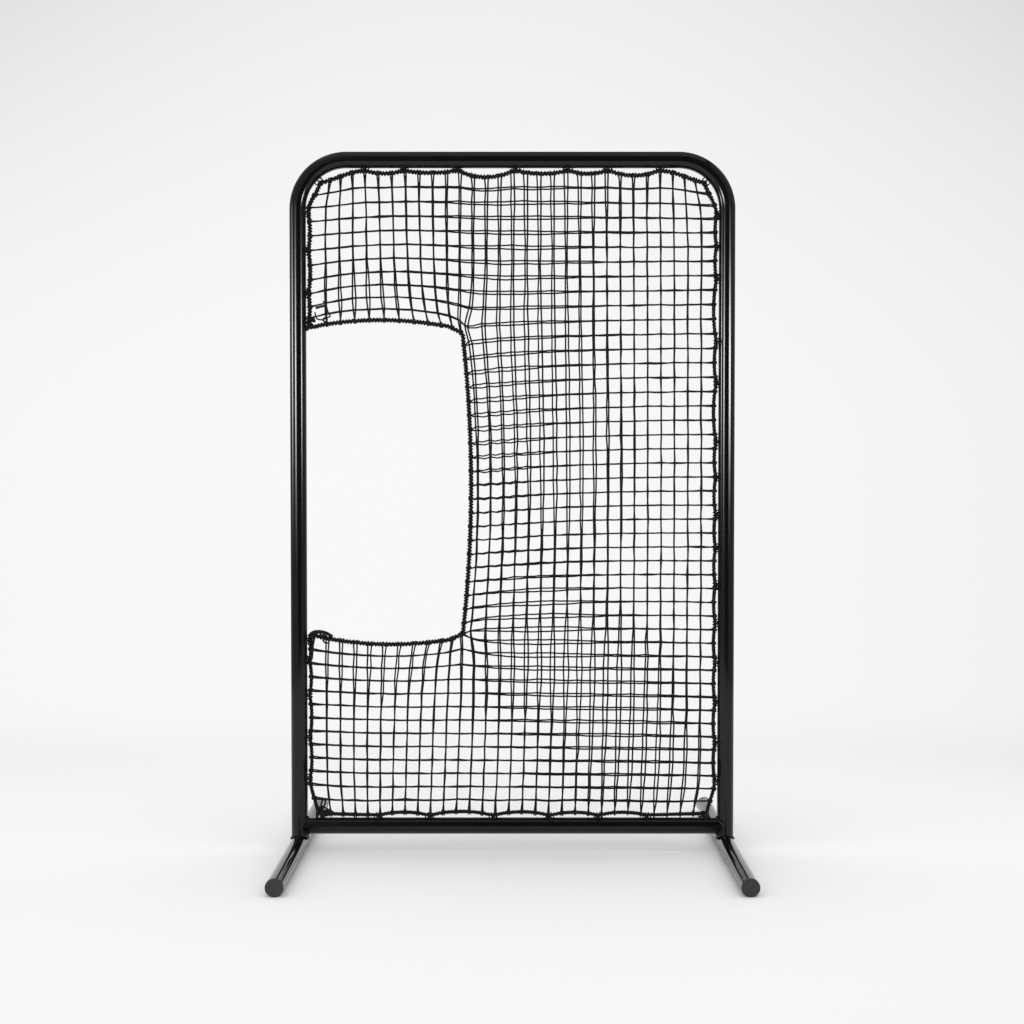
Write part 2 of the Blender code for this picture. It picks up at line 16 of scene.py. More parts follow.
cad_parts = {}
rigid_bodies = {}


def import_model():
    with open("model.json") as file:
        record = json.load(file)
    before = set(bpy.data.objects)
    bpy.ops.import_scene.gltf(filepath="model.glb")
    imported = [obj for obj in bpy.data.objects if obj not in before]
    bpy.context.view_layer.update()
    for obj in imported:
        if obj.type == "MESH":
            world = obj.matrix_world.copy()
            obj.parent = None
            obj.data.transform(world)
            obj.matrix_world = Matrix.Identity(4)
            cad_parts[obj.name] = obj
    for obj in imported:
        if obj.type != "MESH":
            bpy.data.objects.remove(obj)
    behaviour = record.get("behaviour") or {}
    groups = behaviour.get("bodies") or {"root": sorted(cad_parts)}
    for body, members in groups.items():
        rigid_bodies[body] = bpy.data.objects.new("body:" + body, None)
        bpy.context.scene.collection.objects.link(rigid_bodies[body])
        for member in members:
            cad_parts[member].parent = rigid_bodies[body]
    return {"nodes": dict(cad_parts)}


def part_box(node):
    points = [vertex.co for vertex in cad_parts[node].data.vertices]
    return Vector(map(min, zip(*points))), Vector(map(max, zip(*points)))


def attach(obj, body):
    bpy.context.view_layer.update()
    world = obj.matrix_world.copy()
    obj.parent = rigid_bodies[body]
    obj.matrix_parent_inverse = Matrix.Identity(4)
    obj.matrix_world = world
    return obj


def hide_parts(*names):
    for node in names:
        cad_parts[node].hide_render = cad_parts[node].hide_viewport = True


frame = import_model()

bl_info = {
    "name": "C-shaped Pitching Screen",
    "version": (1, 0, 0),
    "blender": (4, 5, 0),
    "location": "3D View > Sidebar > Screen",
    "description": "Builds the tubes, caps, welds, eyelets, net, rope and lashings of a pitching screen",
    "category": "Add Mesh",
}

for spare in [item for item in bpy.data.objects if item.name in ("Cube", "Light", "Camera")]:
    bpy.data.objects.remove(spare)

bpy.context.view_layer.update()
BODY = "root"

# Sizes that several pieces share
TUBE_RADIUS = 0.0254
# The space that stays clear between tubes, and how near a cut end comes to the other tube's middle
CLEARANCE = 0.0003
EAR_TRIM = 0.010
# From a tube's middle to the rope's, and how much further that is at a bend
ROPE_REACH = 0.03355
BEND_SLACK = 0.004
# From a tube's middle to the crown of an eyelet, and how far that lies behind the net's plane
EYELET_REACH = 0.0308
EYELET_SETBACK = 0.010
# Rope that stays straight to each side of a tie and of a corner, and the usual span between ties
TIE_STUB = 0.0055
STRAIGHT_LEAD = 0.020
USUAL_SPAN = 0.105
# Facets round the net's twine, the rope's strands and the lashings, and round the whipping
CORD_SIDES = 6
WHIPPING_SIDES = 5
# Seeds of what is random: how each layer's crossings stray, and how the lashings differ
FRONT_SEED, REAR_SEED, TIE_SEED = 7, 11, 21

# Places read from the frame
POST_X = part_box("frame_hoop")[1].x - TUBE_RADIUS
TOP_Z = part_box("frame_hoop")[1].z - TUBE_RADIUS
CROSSBAR_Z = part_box("bottom_crossbar")[0].z + TUBE_RADIUS
FOOT_Z = sum(corner.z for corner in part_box("left_foot")) / 2
FOOT_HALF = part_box("left_foot")[1].y
CAP_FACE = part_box("rear_left_cap")[1].y
CAP_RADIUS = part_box("rear_left_cap")[1].z - FOOT_Z

RIGHT = np.array((1.0, 0.0, 0.0))
BACK = np.array((0.0, 1.0, 0.0))
UP = np.array((0.0, 0.0, 1.0))


def a_length(name, description, default, precision=4):
    """A size in metres that a user may change."""
    return FloatProperty(
        name=name, description=description, default=default, unit="LENGTH", precision=precision
    )


def a_number(name, description, default, **limits):
    """A plain number that a user may change."""
    return FloatProperty(name=name, description=description, default=default, **limits)


def a_count(name, description, default, least, most):
    """A whole number that a user may change."""
    return IntProperty(name=name, description=description, default=default, min=least, max=most)


def a_colour(name, description, default):
    """A colour that a user may change."""
    return FloatVectorProperty(
        name=name, description=description, subtype="COLOR", default=default, min=0.0, max=1.0
    )


class FrameLook(bpy.types.PropertyGroup):
    """Sizes and finish of the tubes, welds and eyelets."""

    tube_wall: a_length("Tube wall", "Wall of every steel tube", 0.00165, 5)
    bend_radius: a_length("Bend radius", "Radius of the hoop's two bends, to the tube's middle", 0.150)
    tube_sides: a_count("Tube sides", "Facets round a tube", 64, 12, 128)
    bend_steps: a_count("Bend steps", "Sections in one bend", 28, 6, 64)
    bead: a_length("Weld bead", "Thickness of a weld bead", 0.005)
    ripples: a_count("Weld ripples", "Ripples in one weld bead", 38, 8, 80)
    eyelet_wire: a_length("Eyelet wire", "Thickness of the eyelets' wire", 0.004)
    eyelet_length: a_length("Eyelet length", "Length of an eyelet along its tube", 0.024)
    colour: a_colour("Coat colour", "Colour of the powder coat", (0.0045, 0.0046, 0.0048))
    gloss: a_number("Coat gloss", "Specular level of the powder coat", 0.30, min=0.0, max=1.0)


class CapLook(bpy.types.PropertyGroup):
    """Sizes and finish of the plug caps."""

    rim: a_length("Cap rim", "Depth of a cap's rim", 0.005)
    edge: a_length("Cap edge", "Rounding of a cap's face", 0.0015)
    stem: a_length("Cap stem", "Length of the stem inside the tube", 0.022)
    stem_wall: a_length("Stem wall", "Wall of the stem", 0.0025)
    colour: a_colour("Cap colour", "Colour of the moulded caps", (0.024, 0.024, 0.025))


class NetLook(bpy.types.PropertyGroup):
    """Sizes and finish of the two net layers and their opening."""

    columns: a_count("Columns", "Meshes across the net", 30, 4, 60)
    rows: a_count("Rows", "Meshes down the net", 46, 4, 90)
    opening_columns: a_count("Opening columns", "Meshes above the opening, across", 11, 1, 40)
    opening_top_row: a_count("Opening top row", "Meshes from the top bar to the opening", 11, 1, 80)
    opening_low_row: a_count(
        "Opening low row", "Meshes from the top bar to the opening's lower edge", 33, 2, 88
    )
    lower_height: a_length("Lower net height", "From the crossbar's middle to the opening", 0.594)
    upper_height: a_length("Upper net height", "From the top bar's middle to the opening", 0.513)
    opening_depth: a_length("Opening depth", "From the post's middle to the opening's inner edge", 0.507)
    opening_bow: a_length("Opening bow", "How far the opening's edges bow", 0.026)
    opening_lean: a_length(
        "Opening lean", "How far the opening's long edges fall from the post inwards", 0.007
    )
    corner_drop: a_length("Corner drop", "Drop of the opening's upper inner corner", 0.018)
    corner_rise: a_length("Corner rise", "Rise of the opening's lower inner corner", 0.003)
    twine: a_length("Twine", "Thickness of the net's twine", 0.0052)
    knot: a_number("Knot", "Twine thickness at a crossing, as a share of its own", 1.3)
    closing: a_length("Closing", "How much nearer the layers' twine lies away from the rope", 0.0038)
    colour: a_colour("Twine colour", "Colour of the net's twine", (0.007, 0.007, 0.008))


class CordLook(bpy.types.PropertyGroup):
    """Sizes and finish of the border rope, its whipping and its lashings."""

    rope: a_length("Rope", "Thickness of the border rope", 0.0115)
    rope_lay: a_length("Rope lay", "Length of one turn of the rope's strands", 0.030)
    sag_share: a_number("Sag", "Sag of the rope between two ties, as a share of a usual span", 0.065)
    whipping: a_length("Whipping", "Thickness of the twine wound round the rope", 0.0024)
    heavy_whipping: a_number(
        "Heavy whipping", "Whipping round the opening and along the top, as a share", 2.1
    )
    whipping_pitch: a_length("Whipping pitch", "Mean distance between turns of the whipping", 0.0095)
    tie_cord: a_length("Tie cord", "Thickness of a lashing's cord", 0.0020)
    tie_width: a_length("Tie width", "Width of a lashing along the rope", 0.012)
    tie_turns: a_count("Tie turns", "Crossed turns in a lashing", 6, 2, 12)
    corner_inset: a_length(
        "Lower corner inset", "From the post's middle to the rope's lower corner", 0.058
    )
    corner_lift: a_length(
        "Lower corner lift", "From the crossbar's middle to the rope's lower corner", 0.038
    )
    corner_cut: a_length("Corner rounding", "How far a corner of the rope is rounded", 0.007)
    colour: a_colour("Rope colour", "Colour of the rope and ties", (0.009, 0.009, 0.0095))


class StageLook(bpy.types.PropertyGroup):
    """Camera, floor, backdrop and studio light."""

    lens: a_number("Lens", "Focal length on a 36 mm sensor, in millimetres", 60.61)
    distance: a_length("Camera distance", "From the camera to the net's plane", 5.327)
    side: a_length("Camera side", "How far the camera stands to the right", -0.0013)
    height: a_length("Camera height", "Height of the camera", 1.204)
    tilt: a_number("Camera tilt", "How far the camera looks down", math.radians(1.64), subtype="ANGLE")
    backdrop: a_number("Backdrop", "Brightness in the middle of the backdrop", 0.943)
    # Painted light and shade on the backdrop: lighter to the left, darker to its sides, top and corners
    backdrop_light_lean: a_number("Backdrop lean", "How much brighter the left is than the right", 0.066)
    backdrop_side_shade: a_number("Backdrop sides", "How fast the backdrop darkens to its sides", 0.37)
    backdrop_top_shade: a_number("Backdrop top", "How fast the backdrop darkens to its top", 1.15)
    backdrop_corner_shade: a_number("Backdrop corners", "How fast it darkens to its top corners", 14.0)
    # Painted shadow in the fold where the backdrop meets the floor
    backdrop_fold_shadow: a_number("Backdrop fold", "How much darker it is where it meets the floor", 0.05)
    floor: a_colour("Floor", "Colour of the floor", (0.93, 0.93, 0.93))
    room: a_number("Room light", "Plain light from all round", 0.92, min=0.0, max=2.0)
    overhead: a_number("Overhead light", "Radiance of the soft light overhead", 0.80, min=0.0)
    overhead_gloss: a_number("Overhead gloss", "What gloss shows of the light overhead", 0.62, min=0.0)
    walls: a_number("Dark walls", "What gloss shows of the studio's dark walls", 0.45, min=0.0)
    stripes: a_number("Strip lights", "What gloss shows of the strip lights", 38.0, min=0.0)


def unit(vector):
    """The vector at length 1."""
    return np.asarray(vector, float) / np.linalg.norm(vector)


def full_turn(count):
    """Angles evenly spaced round a full turn."""
    return 2 * math.pi * np.arange(count) / count


def bow(share):
    """A shallow arch, 0 at both ends and 1 in the middle."""
    share = np.clip(share, 0.0, 1.0)
    return 4 * share * (1 - share)


def smooth_path(points, per_span, closed=False):
    """Points on a smooth curve through the given ones, with per_span of them from one to the next."""
    knots = np.asarray(points, float)
    chords = np.diff(np.vstack([knots, knots[:1]]) if closed else knots, axis=0)
    spans = np.linalg.norm(chords, axis=1)[:, None]
    slopes = chords / spans
    if closed:
        before = np.roll(spans, 1, 0)
        slope_before = np.roll(slopes, 1, 0)
        tangents = (slopes * before + slope_before * spans) / (before + spans)
        starts, ends = knots, np.roll(knots, -1, 0)
        leaving, arriving = tangents, np.roll(tangents, -1, 0)
    else:
        inner = (slopes[1:] * spans[:-1] + slopes[:-1] * spans[1:]) / (spans[1:] + spans[:-1])
        tangents = np.vstack([slopes[:1], inner, slopes[-1:]])
        starts, ends = knots[:-1], knots[1:]
        leaving, arriving = tangents[:-1], tangents[1:]
    t = (np.arange(per_span) / per_span)[None, :, None]
    reach = spans[:, None, :]
    curve = (2 * t**3 - 3 * t**2 + 1) * starts[:, None] + (t**3 - 2 * t**2 + t) * reach * leaving[:, None]
    curve += (3 * t**2 - 2 * t**3) * ends[:, None] + (t**3 - t**2) * reach * arriving[:, None]
    curve = curve.reshape(-1, knots.shape[1])
    return curve if closed else np.vstack([curve, knots[-1:]])


def lengths_along(points, closed=False):
    """How far along the row each point is, from 0. A closed row has its whole length as one more value."""
    row = np.vstack([points, points[:1]]) if closed else points
    return np.concatenate([[0.0], np.cumsum(np.linalg.norm(np.diff(row, axis=0), axis=1))])


def point_at(points, share):
    """The point at a share of the row's length."""
    along = lengths_along(points)
    return np.array([np.interp(share * along[-1], along, points[:, axis]) for axis in range(3)])


def direction_at(points, share):
    """The row's direction at a share of its length."""
    reach = 0.002
    return unit(point_at(points, min(share + reach, 1.0)) - point_at(points, max(share - reach, 0.0)))


def headings(path, closed=False):
    """The way ahead at every point of a row."""
    if closed:
        return np.roll(path, -1, 0) - np.roll(path, 1, 0)
    return np.vstack([path[1:2] - path[:1], path[2:] - path[:-2], path[-1:] - path[-2:-1]])


def add_piece(name, mesh, finish=None):
    """Links one mesh as an object at the origin, with its finish."""
    piece = bpy.data.objects.new(name, mesh)
    bpy.context.scene.collection.objects.link(piece)
    if finish:
        mesh.materials.append(finish)
    return piece


def hand_over(piece, slot, *nodes):
    """The piece rides on the frame in the place of its CAD nodes. Its slot, the record's finish, is not
    used.
    """
    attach(piece, BODY)
    if nodes:
        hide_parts(*nodes)


def ring(centre, across, up, radius, sides):
    """Points round one section."""
    angles = full_turn(sides)
    return centre + radius * (np.cos(angles)[:, None] * across + np.sin(angles)[:, None] * up)


def lofted(name, rings, closed, smooth_angle=math.radians(35)):
    """Covers a row of sections with faces: a closed row makes a ring, an open one gets end faces."""
    sections = np.asarray(rings)
    count, sides = sections.shape[:2]
    bm = bmesh.new()
    rows = [[bm.verts.new(point) for point in section] for section in sections]
    for i in range(count if closed else count - 1):
        one, other = rows[i], rows[(i + 1) % count]
        for k in range(sides):
            bm.faces.new((one[k], one[(k + 1) % sides], other[(k + 1) % sides], other[k]))
    if not closed:
        for end in (rows[0], rows[-1]):
            middle = bm.verts.new(sum((vertex.co for vertex in end[1:]), end[0].co.copy()) / sides)
            for k in range(sides):
                bm.faces.new((end[k], end[(k + 1) % sides], middle))
    bmesh.ops.recalc_face_normals(bm, faces=bm.faces)
    mesh = bpy.data.meshes.new(name)
    bm.to_mesh(mesh)
    bm.free()
    mesh.shade_smooth()
    mesh.set_sharp_from_angle(angle=smooth_angle)
    return mesh


def joined(name, meshes):
    """Several meshes as one."""
    bm = bmesh.new()
    for mesh in meshes:
        bm.from_mesh(mesh)
    whole = bpy.data.meshes.new(name)
    bm.to_mesh(whole)
    bm.free()
    return whole


def wires(name, lines):
    """A mesh of edges along each line, which is its points, its thickness along them and if it is closed."""
    points, edges, thick = [], [], []
    for row, swell, closed in lines:
        first = len(points)
        points.extend(row)
        thick.extend(np.broadcast_to(swell, len(row)))
        edges.extend((first + i, first + i + 1) for i in range(len(row) - 1))
        if closed:
            edges.append((first + len(row) - 1, first))
    mesh = bpy.data.meshes.new(name)
    mesh.from_pydata([tuple(point) for point in points], edges, [])
    mesh.attributes.new("thick", "FLOAT", "POINT").data.foreach_set("value", np.array(thick, np.float32))
    return mesh


def places(name, points, turns):
    """A mesh of loose points, each with the turn about +Y of what stands there."""
    mesh = bpy.data.meshes.new(name)
    mesh.from_pydata([tuple(point) for point in points], [], [])
    rotations = np.array([(0.0, turn, 0.0) for turn in turns], np.float32)
    mesh.attributes.new("turn", "FLOAT_VECTOR", "POINT").data.foreach_set("vector", rotations.ravel())
    return mesh


def add_node(tree, kind, inputs=(), **settings):
    """Adds one node. An input is a plain value or another node's output."""
    node = tree.nodes.new(kind)
    for key, value in settings.items():
        setattr(node, key, value)
    for key, value in dict(inputs).items():
        if isinstance(value, bpy.types.NodeSocket):
            tree.links.new(value, node.inputs[key])
        else:
            node.inputs[key].default_value = value
    return node


def node_tree(name, sockets):
    """A geometry tree with its named inputs and one geometry output."""
    tree = bpy.data.node_groups.new(name, "GeometryNodeTree")
    for label, kind in (("Geometry", "Geometry"), *sockets, ("Finish", "Material")):
        tree.interface.new_socket(label, in_out="INPUT", socket_type="NodeSocket" + kind)
    tree.interface.new_socket("Geometry", in_out="OUTPUT", socket_type="NodeSocketGeometry")
    return tree, tree.nodes.new("NodeGroupInput").outputs


def close_tree(tree, geometry, finish):
    """Ends a tree: smooth faces, real geometry and its finish."""
    smooth = add_node(tree, "GeometryNodeSetShadeSmooth", {"Geometry": geometry})
    real = add_node(tree, "GeometryNodeRealizeInstances", {"Geometry": smooth.outputs[0]})
    painted = add_node(tree, "GeometryNodeSetMaterial", {"Geometry": real.outputs[0], "Material": finish})
    add_node(tree, "NodeGroupOutput", {"Geometry": painted.outputs[0]})


def cord_tree():
    """Round cord along every line of a mesh, with how far along and how far round each point is."""
    sockets = (("Cord Radius", "Float"), ("Sides", "Int"))
    tree, given = node_tree("Cord along its path", sockets)
    path = add_node(tree, "GeometryNodeMeshToCurve", {"Mesh": given["Geometry"]})
    spline = add_node(tree, "GeometryNodeSplineParameter")
    marked = add_node(
        tree, "GeometryNodeStoreNamedAttribute",
        {"Geometry": path.outputs[0], "Name": "along", "Value": spline.outputs["Length"]},
        data_type="FLOAT", domain="POINT",
    )
    section = add_node(
        tree, "GeometryNodeCurvePrimitiveCircle",
        {"Resolution": given["Sides"], "Radius": given["Cord Radius"]},
    )
    heading = add_node(
        tree, "ShaderNodeVectorMath", {0: add_node(tree, "GeometryNodeInputPosition").outputs[0]},
        operation="NORMALIZE",
    )
    turned = add_node(
        tree, "GeometryNodeStoreNamedAttribute",
        {"Geometry": section.outputs[0], "Name": "around", "Value": heading.outputs[0]},
        data_type="FLOAT_VECTOR", domain="POINT",
    )
    thick = add_node(tree, "GeometryNodeInputNamedAttribute", {"Name": "thick"}, data_type="FLOAT")
    swept = add_node(
        tree, "GeometryNodeCurveToMesh",
        {
            "Curve": marked.outputs[0], "Profile Curve": turned.outputs[0],
            "Scale": thick.outputs["Attribute"], "Fill Caps": True,
        },
    )
    close_tree(tree, swept.outputs[0], given["Finish"])
    return tree


def copies_tree():
    """A copy of one shape at every point of a mesh, turned as its point says."""
    tree, given = node_tree("Copies at their places", (("Shape", "Object"),))
    shape = add_node(tree, "GeometryNodeObjectInfo", {"Object": given["Shape"]})
    turn = add_node(
        tree, "GeometryNodeInputNamedAttribute", {"Name": "turn"}, data_type="FLOAT_VECTOR"
    )
    rotation = add_node(tree, "FunctionNodeEulerToRotation", {"Euler": turn.outputs["Attribute"]})
    copies = add_node(
        tree, "GeometryNodeInstanceOnPoints",
        {
            "Points": given["Geometry"], "Instance": shape.outputs["Geometry"],
            "Rotation": rotation.outputs[0],
        },
    )
    close_tree(tree, copies.outputs[0], given["Finish"])
    return tree


def through_tree(name, mesh, tree, values):
    """Runs a mesh through a tree and returns the plain result as a new object at the origin."""
    guide = add_piece(name + "_guide", mesh)
    step = guide.modifiers.new("shape", "NODES")
    step.node_group = tree
    sockets = {item.name: item.identifier for item in tree.interface.items_tree if item.in_out == "INPUT"}
    for label, value in values.items():
        step[sockets[label]] = value
    bpy.context.view_layer.update()
    graph = bpy.context.evaluated_depsgraph_get()
    made = bpy.data.meshes.new_from_object(
        guide.evaluated_get(graph), preserve_all_data_layers=True, depsgraph=graph
    )
    bpy.data.objects.remove(guide)
    made.name = name
    if not made.polygons:
        raise RuntimeError(f"{name} came out of its node tree without faces")
    return add_piece(name, made)


def cord_piece(name, lines, diameter, sides, finish):
    """Round cord along several lines, as one piece."""
    tree = bpy.data.node_groups.get("Cord along its path") or cord_tree()
    values = {"Cord Radius": diameter / 2, "Sides": sides, "Finish": finish}
    return through_tree(name, wires(name, lines), tree, values)


def copied_piece(name, shape, points, turns, finish):
    """Copies of one shape at several places, as one piece."""
    tree = bpy.data.node_groups.get("Copies at their places") or copies_tree()
    pattern = add_piece(name + "_shape", shape)
    piece = through_tree(name, places(name, points, turns), tree, {"Shape": pattern, "Finish": finish})
    bpy.data.objects.remove(pattern)
    return piece


def new_finish(name, colour, specular):
    """A material with its shader's plain values. Its roughness stays to be set or linked."""
    finish = bpy.data.materials.new(name)
    finish.use_nodes = True
    shader = finish.node_tree.nodes["Principled BSDF"]
    shader.inputs["Base Color"].default_value = (*colour, 1.0)
    shader.inputs["Specular IOR Level"].default_value = specular
    return finish, finish.node_tree, shader


def object_place(tree):
    """Where each point lies in the object's own frame."""
    return add_node(tree, "ShaderNodeTexCoord").outputs["Object"]


def axes(tree, vector):
    """A vector's x, y and z."""
    return add_node(tree, "ShaderNodeSeparateXYZ", {0: vector}).outputs


def object_noise(tree, scale, detail=2.0):
    """Noise that is fixed to the object."""
    inputs = {"Vector": object_place(tree), "Scale": scale, "Detail": detail}
    return add_node(tree, "ShaderNodeTexNoise", inputs).outputs["Fac"]


def between(tree, value, low, high):
    """A value from 0 to 1, spread from low to high."""
    spread = add_node(tree, "ShaderNodeMapRange", {"Value": value, "To Min": low, "To Max": high})
    return spread.outputs["Result"]


def shaded(tree, value, colour, dark, light):
    """The colour, made darker or lighter by a value from 0 to 1."""
    darker, lighter = ((*[part * factor for part in colour], 1.0) for factor in (dark, light))
    shades = {0: value, 6: darker, 7: lighter}
    return add_node(tree, "ShaderNodeMix", shades, data_type="RGBA").outputs[2]


def bumped(tree, shader, height, distance):
    """Raises the surface by a value from 0 to 1."""
    bump = add_node(tree, "ShaderNodeBump", {"Height": height, "Distance": distance})
    tree.links.new(bump.outputs["Normal"], shader.inputs["Normal"])


def math_node(tree, operation, first, second=0.0):
    """One sum on one or two values."""
    return add_node(tree, "ShaderNodeMath", {0: first, 1: second}, operation=operation).outputs[0]


def powder_coat(look):
    """Black gloss powder coat with a fine orange peel."""
    finish, tree, shader = new_finish("gloss_black_coat", look.colour, specular=look.gloss)
    haze = object_noise(tree, scale=9.0)
    peel = object_noise(tree, scale=650.0)
    tree.links.new(between(tree, haze, low=0.06, high=0.12), shader.inputs["Roughness"])
    tree.links.new(shaded(tree, haze, look.colour, dark=0.8, light=1.25), shader.inputs["Base Color"])
    bumped(tree, shader, peel, distance=0.000012)
    return finish


def coated_weld(look):
    """The same coat over a rougher weld."""
    finish, tree, shader = new_finish("coated_weld", look.colour, specular=look.gloss)
    grain = object_noise(tree, scale=1400.0, detail=3.0)
    tree.links.new(between(tree, grain, low=0.22, high=0.38), shader.inputs["Roughness"])
    tree.links.new(shaded(tree, grain, look.colour, dark=0.8, light=1.6), shader.inputs["Base Color"])
    bumped(tree, shader, grain, distance=0.00008)
    return finish


def cap_plastic(look):
    """Charcoal moulded plastic with a fine spark grain and a little dust."""
    finish, tree, shader = new_finish("moulded_charcoal", look.colour, specular=0.35)
    grain = object_noise(tree, scale=2600.0, detail=3.0)
    dust = object_noise(tree, scale=70.0)
    tree.links.new(between(tree, grain, low=0.48, high=0.66), shader.inputs["Roughness"])
    tree.links.new(shaded(tree, dust, look.colour, dark=0.85, light=1.2), shader.inputs["Base Color"])
    bumped(tree, shader, grain, distance=0.00006)
    return finish


def twisted_cord(name, colour, strands, lay, relief):
    """Cord of twisted strands, read from how far along and how far round each point is. Its colour has
    painted shade in the grooves between strands and is painted lighter on their crests.
    """
    finish, tree, shader = new_finish(name, colour, specular=0.10)
    along = add_node(tree, "ShaderNodeAttribute", attribute_name="along").outputs["Fac"]
    around = add_node(tree, "ShaderNodeAttribute", attribute_name="around").outputs["Vector"]
    heading = axes(tree, around)
    angle = math_node(tree, "ARCTAN2", heading["Y"], heading["X"])
    turned = math_node(tree, "MULTIPLY", angle, strands / 2)
    advanced = math_node(tree, "MULTIPLY", along, math.pi * strands / lay)
    wave = math_node(tree, "COSINE", math_node(tree, "SUBTRACT", turned, advanced))
    ridge_bump_and_shade = math_node(tree, "ABSOLUTE", wave)
    fibres = object_noise(tree, scale=3000.0, detail=3.0)
    fibre_share = 0.35
    height = math_node(tree, "ADD", ridge_bump_and_shade, math_node(tree, "MULTIPLY", fibres, fibre_share))
    # Painted shade and light: the grooves between strands are darkened and the crests lightened
    tree.links.new(shaded(tree, ridge_bump_and_shade, colour, dark=0.55, light=1.35), shader.inputs["Base Color"])
    tree.links.new(between(tree, fibres, low=0.5, high=0.72), shader.inputs["Roughness"])
    shader.inputs["Sheen Weight"].default_value = 0.03
    shader.inputs["Sheen Roughness"].default_value = 0.5
    bumped(tree, shader, height, relief)
    return finish


class TieSite:
    """One place where the rope is lashed to its tube: the tube's middle there, and the way in."""

    def __init__(self, centre, inward, slack=0.0):
        self.centre = np.asarray(centre, float)
        self.inward = unit(inward)
        self.slack = slack
        self.turn = math.atan2(self.inward[0], self.inward[2])

    def rope_point(self):
        """Where the rope's middle passes."""
        return self.centre + self.inward * (ROPE_REACH + self.slack)

    def along(self):
        """The way along the tube."""
        return np.array((math.cos(self.turn), 0.0, -math.sin(self.turn)))

    def placed(self, points):
        """Points given along the tube, backwards and inwards, in the row frame."""
        local = np.asarray(points)
        return (
            self.centre + local[:, :1] * self.along() + local[:, 1:2] * BACK + local[:, 2:3] * self.inward
        )


def row_names(row):
    """The CAD nodes of one row of ties, in order."""
    names = [name for name in frame["nodes"] if name.startswith(row + "_")]
    return sorted(names, key=lambda name: int(name.rsplit("_", 1)[1]))


def row_sites(row, level, axis, inward):
    """The sites of one row of ties, each at its CAD node's place along the tube."""
    sites = []
    for name in row_names(row):
        low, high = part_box(name)
        centre = np.array(level, float)
        centre[axis] = (low[axis] + high[axis]) / 2
        sites.append(TieSite(centre, inward))
    return sites


def bend_site(look, side):
    """The tie on a bend, halfway round it."""
    inset = look.bend_radius * (1 - math.sqrt(0.5))
    centre = (side * (POST_X - inset), 0.0, TOP_Z - inset)
    return TieSite(centre, (-side, 0, -1), BEND_SLACK)


def tie_sites(look):
    """The ties of each side, in the rope's order: clockwise from the left bend."""
    return {
        "left_bend": [bend_site(look, -1)],
        "top": row_sites("tie_top", (0, 0, TOP_Z), 0, -UP),
        "right_bend": [bend_site(look, 1)],
        "right": row_sites("tie_right", (POST_X, 0, 0), 2, -RIGHT),
        "bottom": row_sites("tie_bottom", (0, 0, CROSSBAR_Z), 0, UP),
        "left_lower": row_sites("tie_left_lower", (-POST_X, 0, 0), 2, RIGHT),
        "left_upper": row_sites("tie_left_upper", (-POST_X, 0, 0), 2, RIGHT),
    }


# How the sags between the top bar's ties differ, from left to right
TOP_SAGS = (1.0, 0.4, 1.05, 0.6, 1.15, 1.0)
# How much of the usual sag the rope has along the posts and along the crossbar
POST_SAG = 0.6
CROSSBAR_SAG = 0.85


def tied_run(sites, along, slack, growth=0.0):
    """The rope past a row of ties: straight at each, and between two with a sag.

    slack is the sag as a share of the span, for all spans or for each, and growth how much faster
    than its span it grows.
    """
    slacks = np.broadcast_to(slack, len(sites) - 1)
    points = []
    sag_points = 5
    for i, site in enumerate(sites):
        if i > 0:
            start = sites[i - 1].rope_point() + along * TIE_STUB
            end = site.rope_point() - along * TIE_STUB
            span = np.linalg.norm(end - start)
            for step in range(1, sag_points + 1):
                share = step / (sag_points + 1)
                sag = slacks[i - 1] * span * (span / USUAL_SPAN) ** growth * bow(share)
                points.append(start + (end - start) * share + site.inward * sag)
        points += [site.rope_point() - along * TIE_STUB, site.rope_point() + along * TIE_STUB]
    return points


def corner_points(cut, before, corner, after):
    """Three points that take the rope round a corner."""
    start = corner + unit(before - corner) * cut
    end = corner + unit(after - corner) * cut
    return [start, (start + end) / 4 + corner / 2, end]


def straight_corner(cut, before, corner, after):
    """Five points round a corner, so that the rope is straight up to it."""
    leads = [corner + unit(place - corner) * STRAIGHT_LEAD for place in (before, after)]
    return [leads[0], *corner_points(cut, before, corner, after), leads[1]]


class OpeningEdge:
    """The rope's line round the opening."""

    def __init__(self, net, cords):
        self.top = TOP_Z - net.upper_height
        self.bottom = CROSSBAR_Z + net.lower_height
        self.inner = net.opening_depth - POST_X
        self.inner_top = self.top - net.corner_drop
        self.inner_bottom = self.bottom + net.corner_rise
        self.post = ROPE_REACH - POST_X
        self.lean = net.opening_lean
        self.bow = net.opening_bow
        self.cut = cords.corner_cut

    def corners(self):
        """Lower and upper corner at the post, lower and upper inner corner."""
        spots = ((self.post, self.bottom), (self.post, self.top), (self.inner, self.inner_bottom))
        return [np.array((x, 0.0, z)) for x, z in (*spots, (self.inner, self.inner_top))]

    def sides(self):
        """Points inside the lower, the inner and the upper side, from the lower corner at the post."""
        steps = 12
        shares = np.arange(1, steps) / steps
        x = self.post + (self.inner - self.post) * shares
        z = self.inner_bottom + (self.inner_top - self.inner_bottom) * shares
        arch = self.bow * bow(shares)
        flat = np.zeros_like(shares)
        lower = np.stack([x, flat, self.bottom - self.lean * shares - arch], 1)
        inner = np.stack([self.inner + arch, flat, z], 1)
        upper = np.stack([x, flat, self.top - self.lean * shares + arch], 1)
        return list(lower), list(inner), list(upper[::-1])


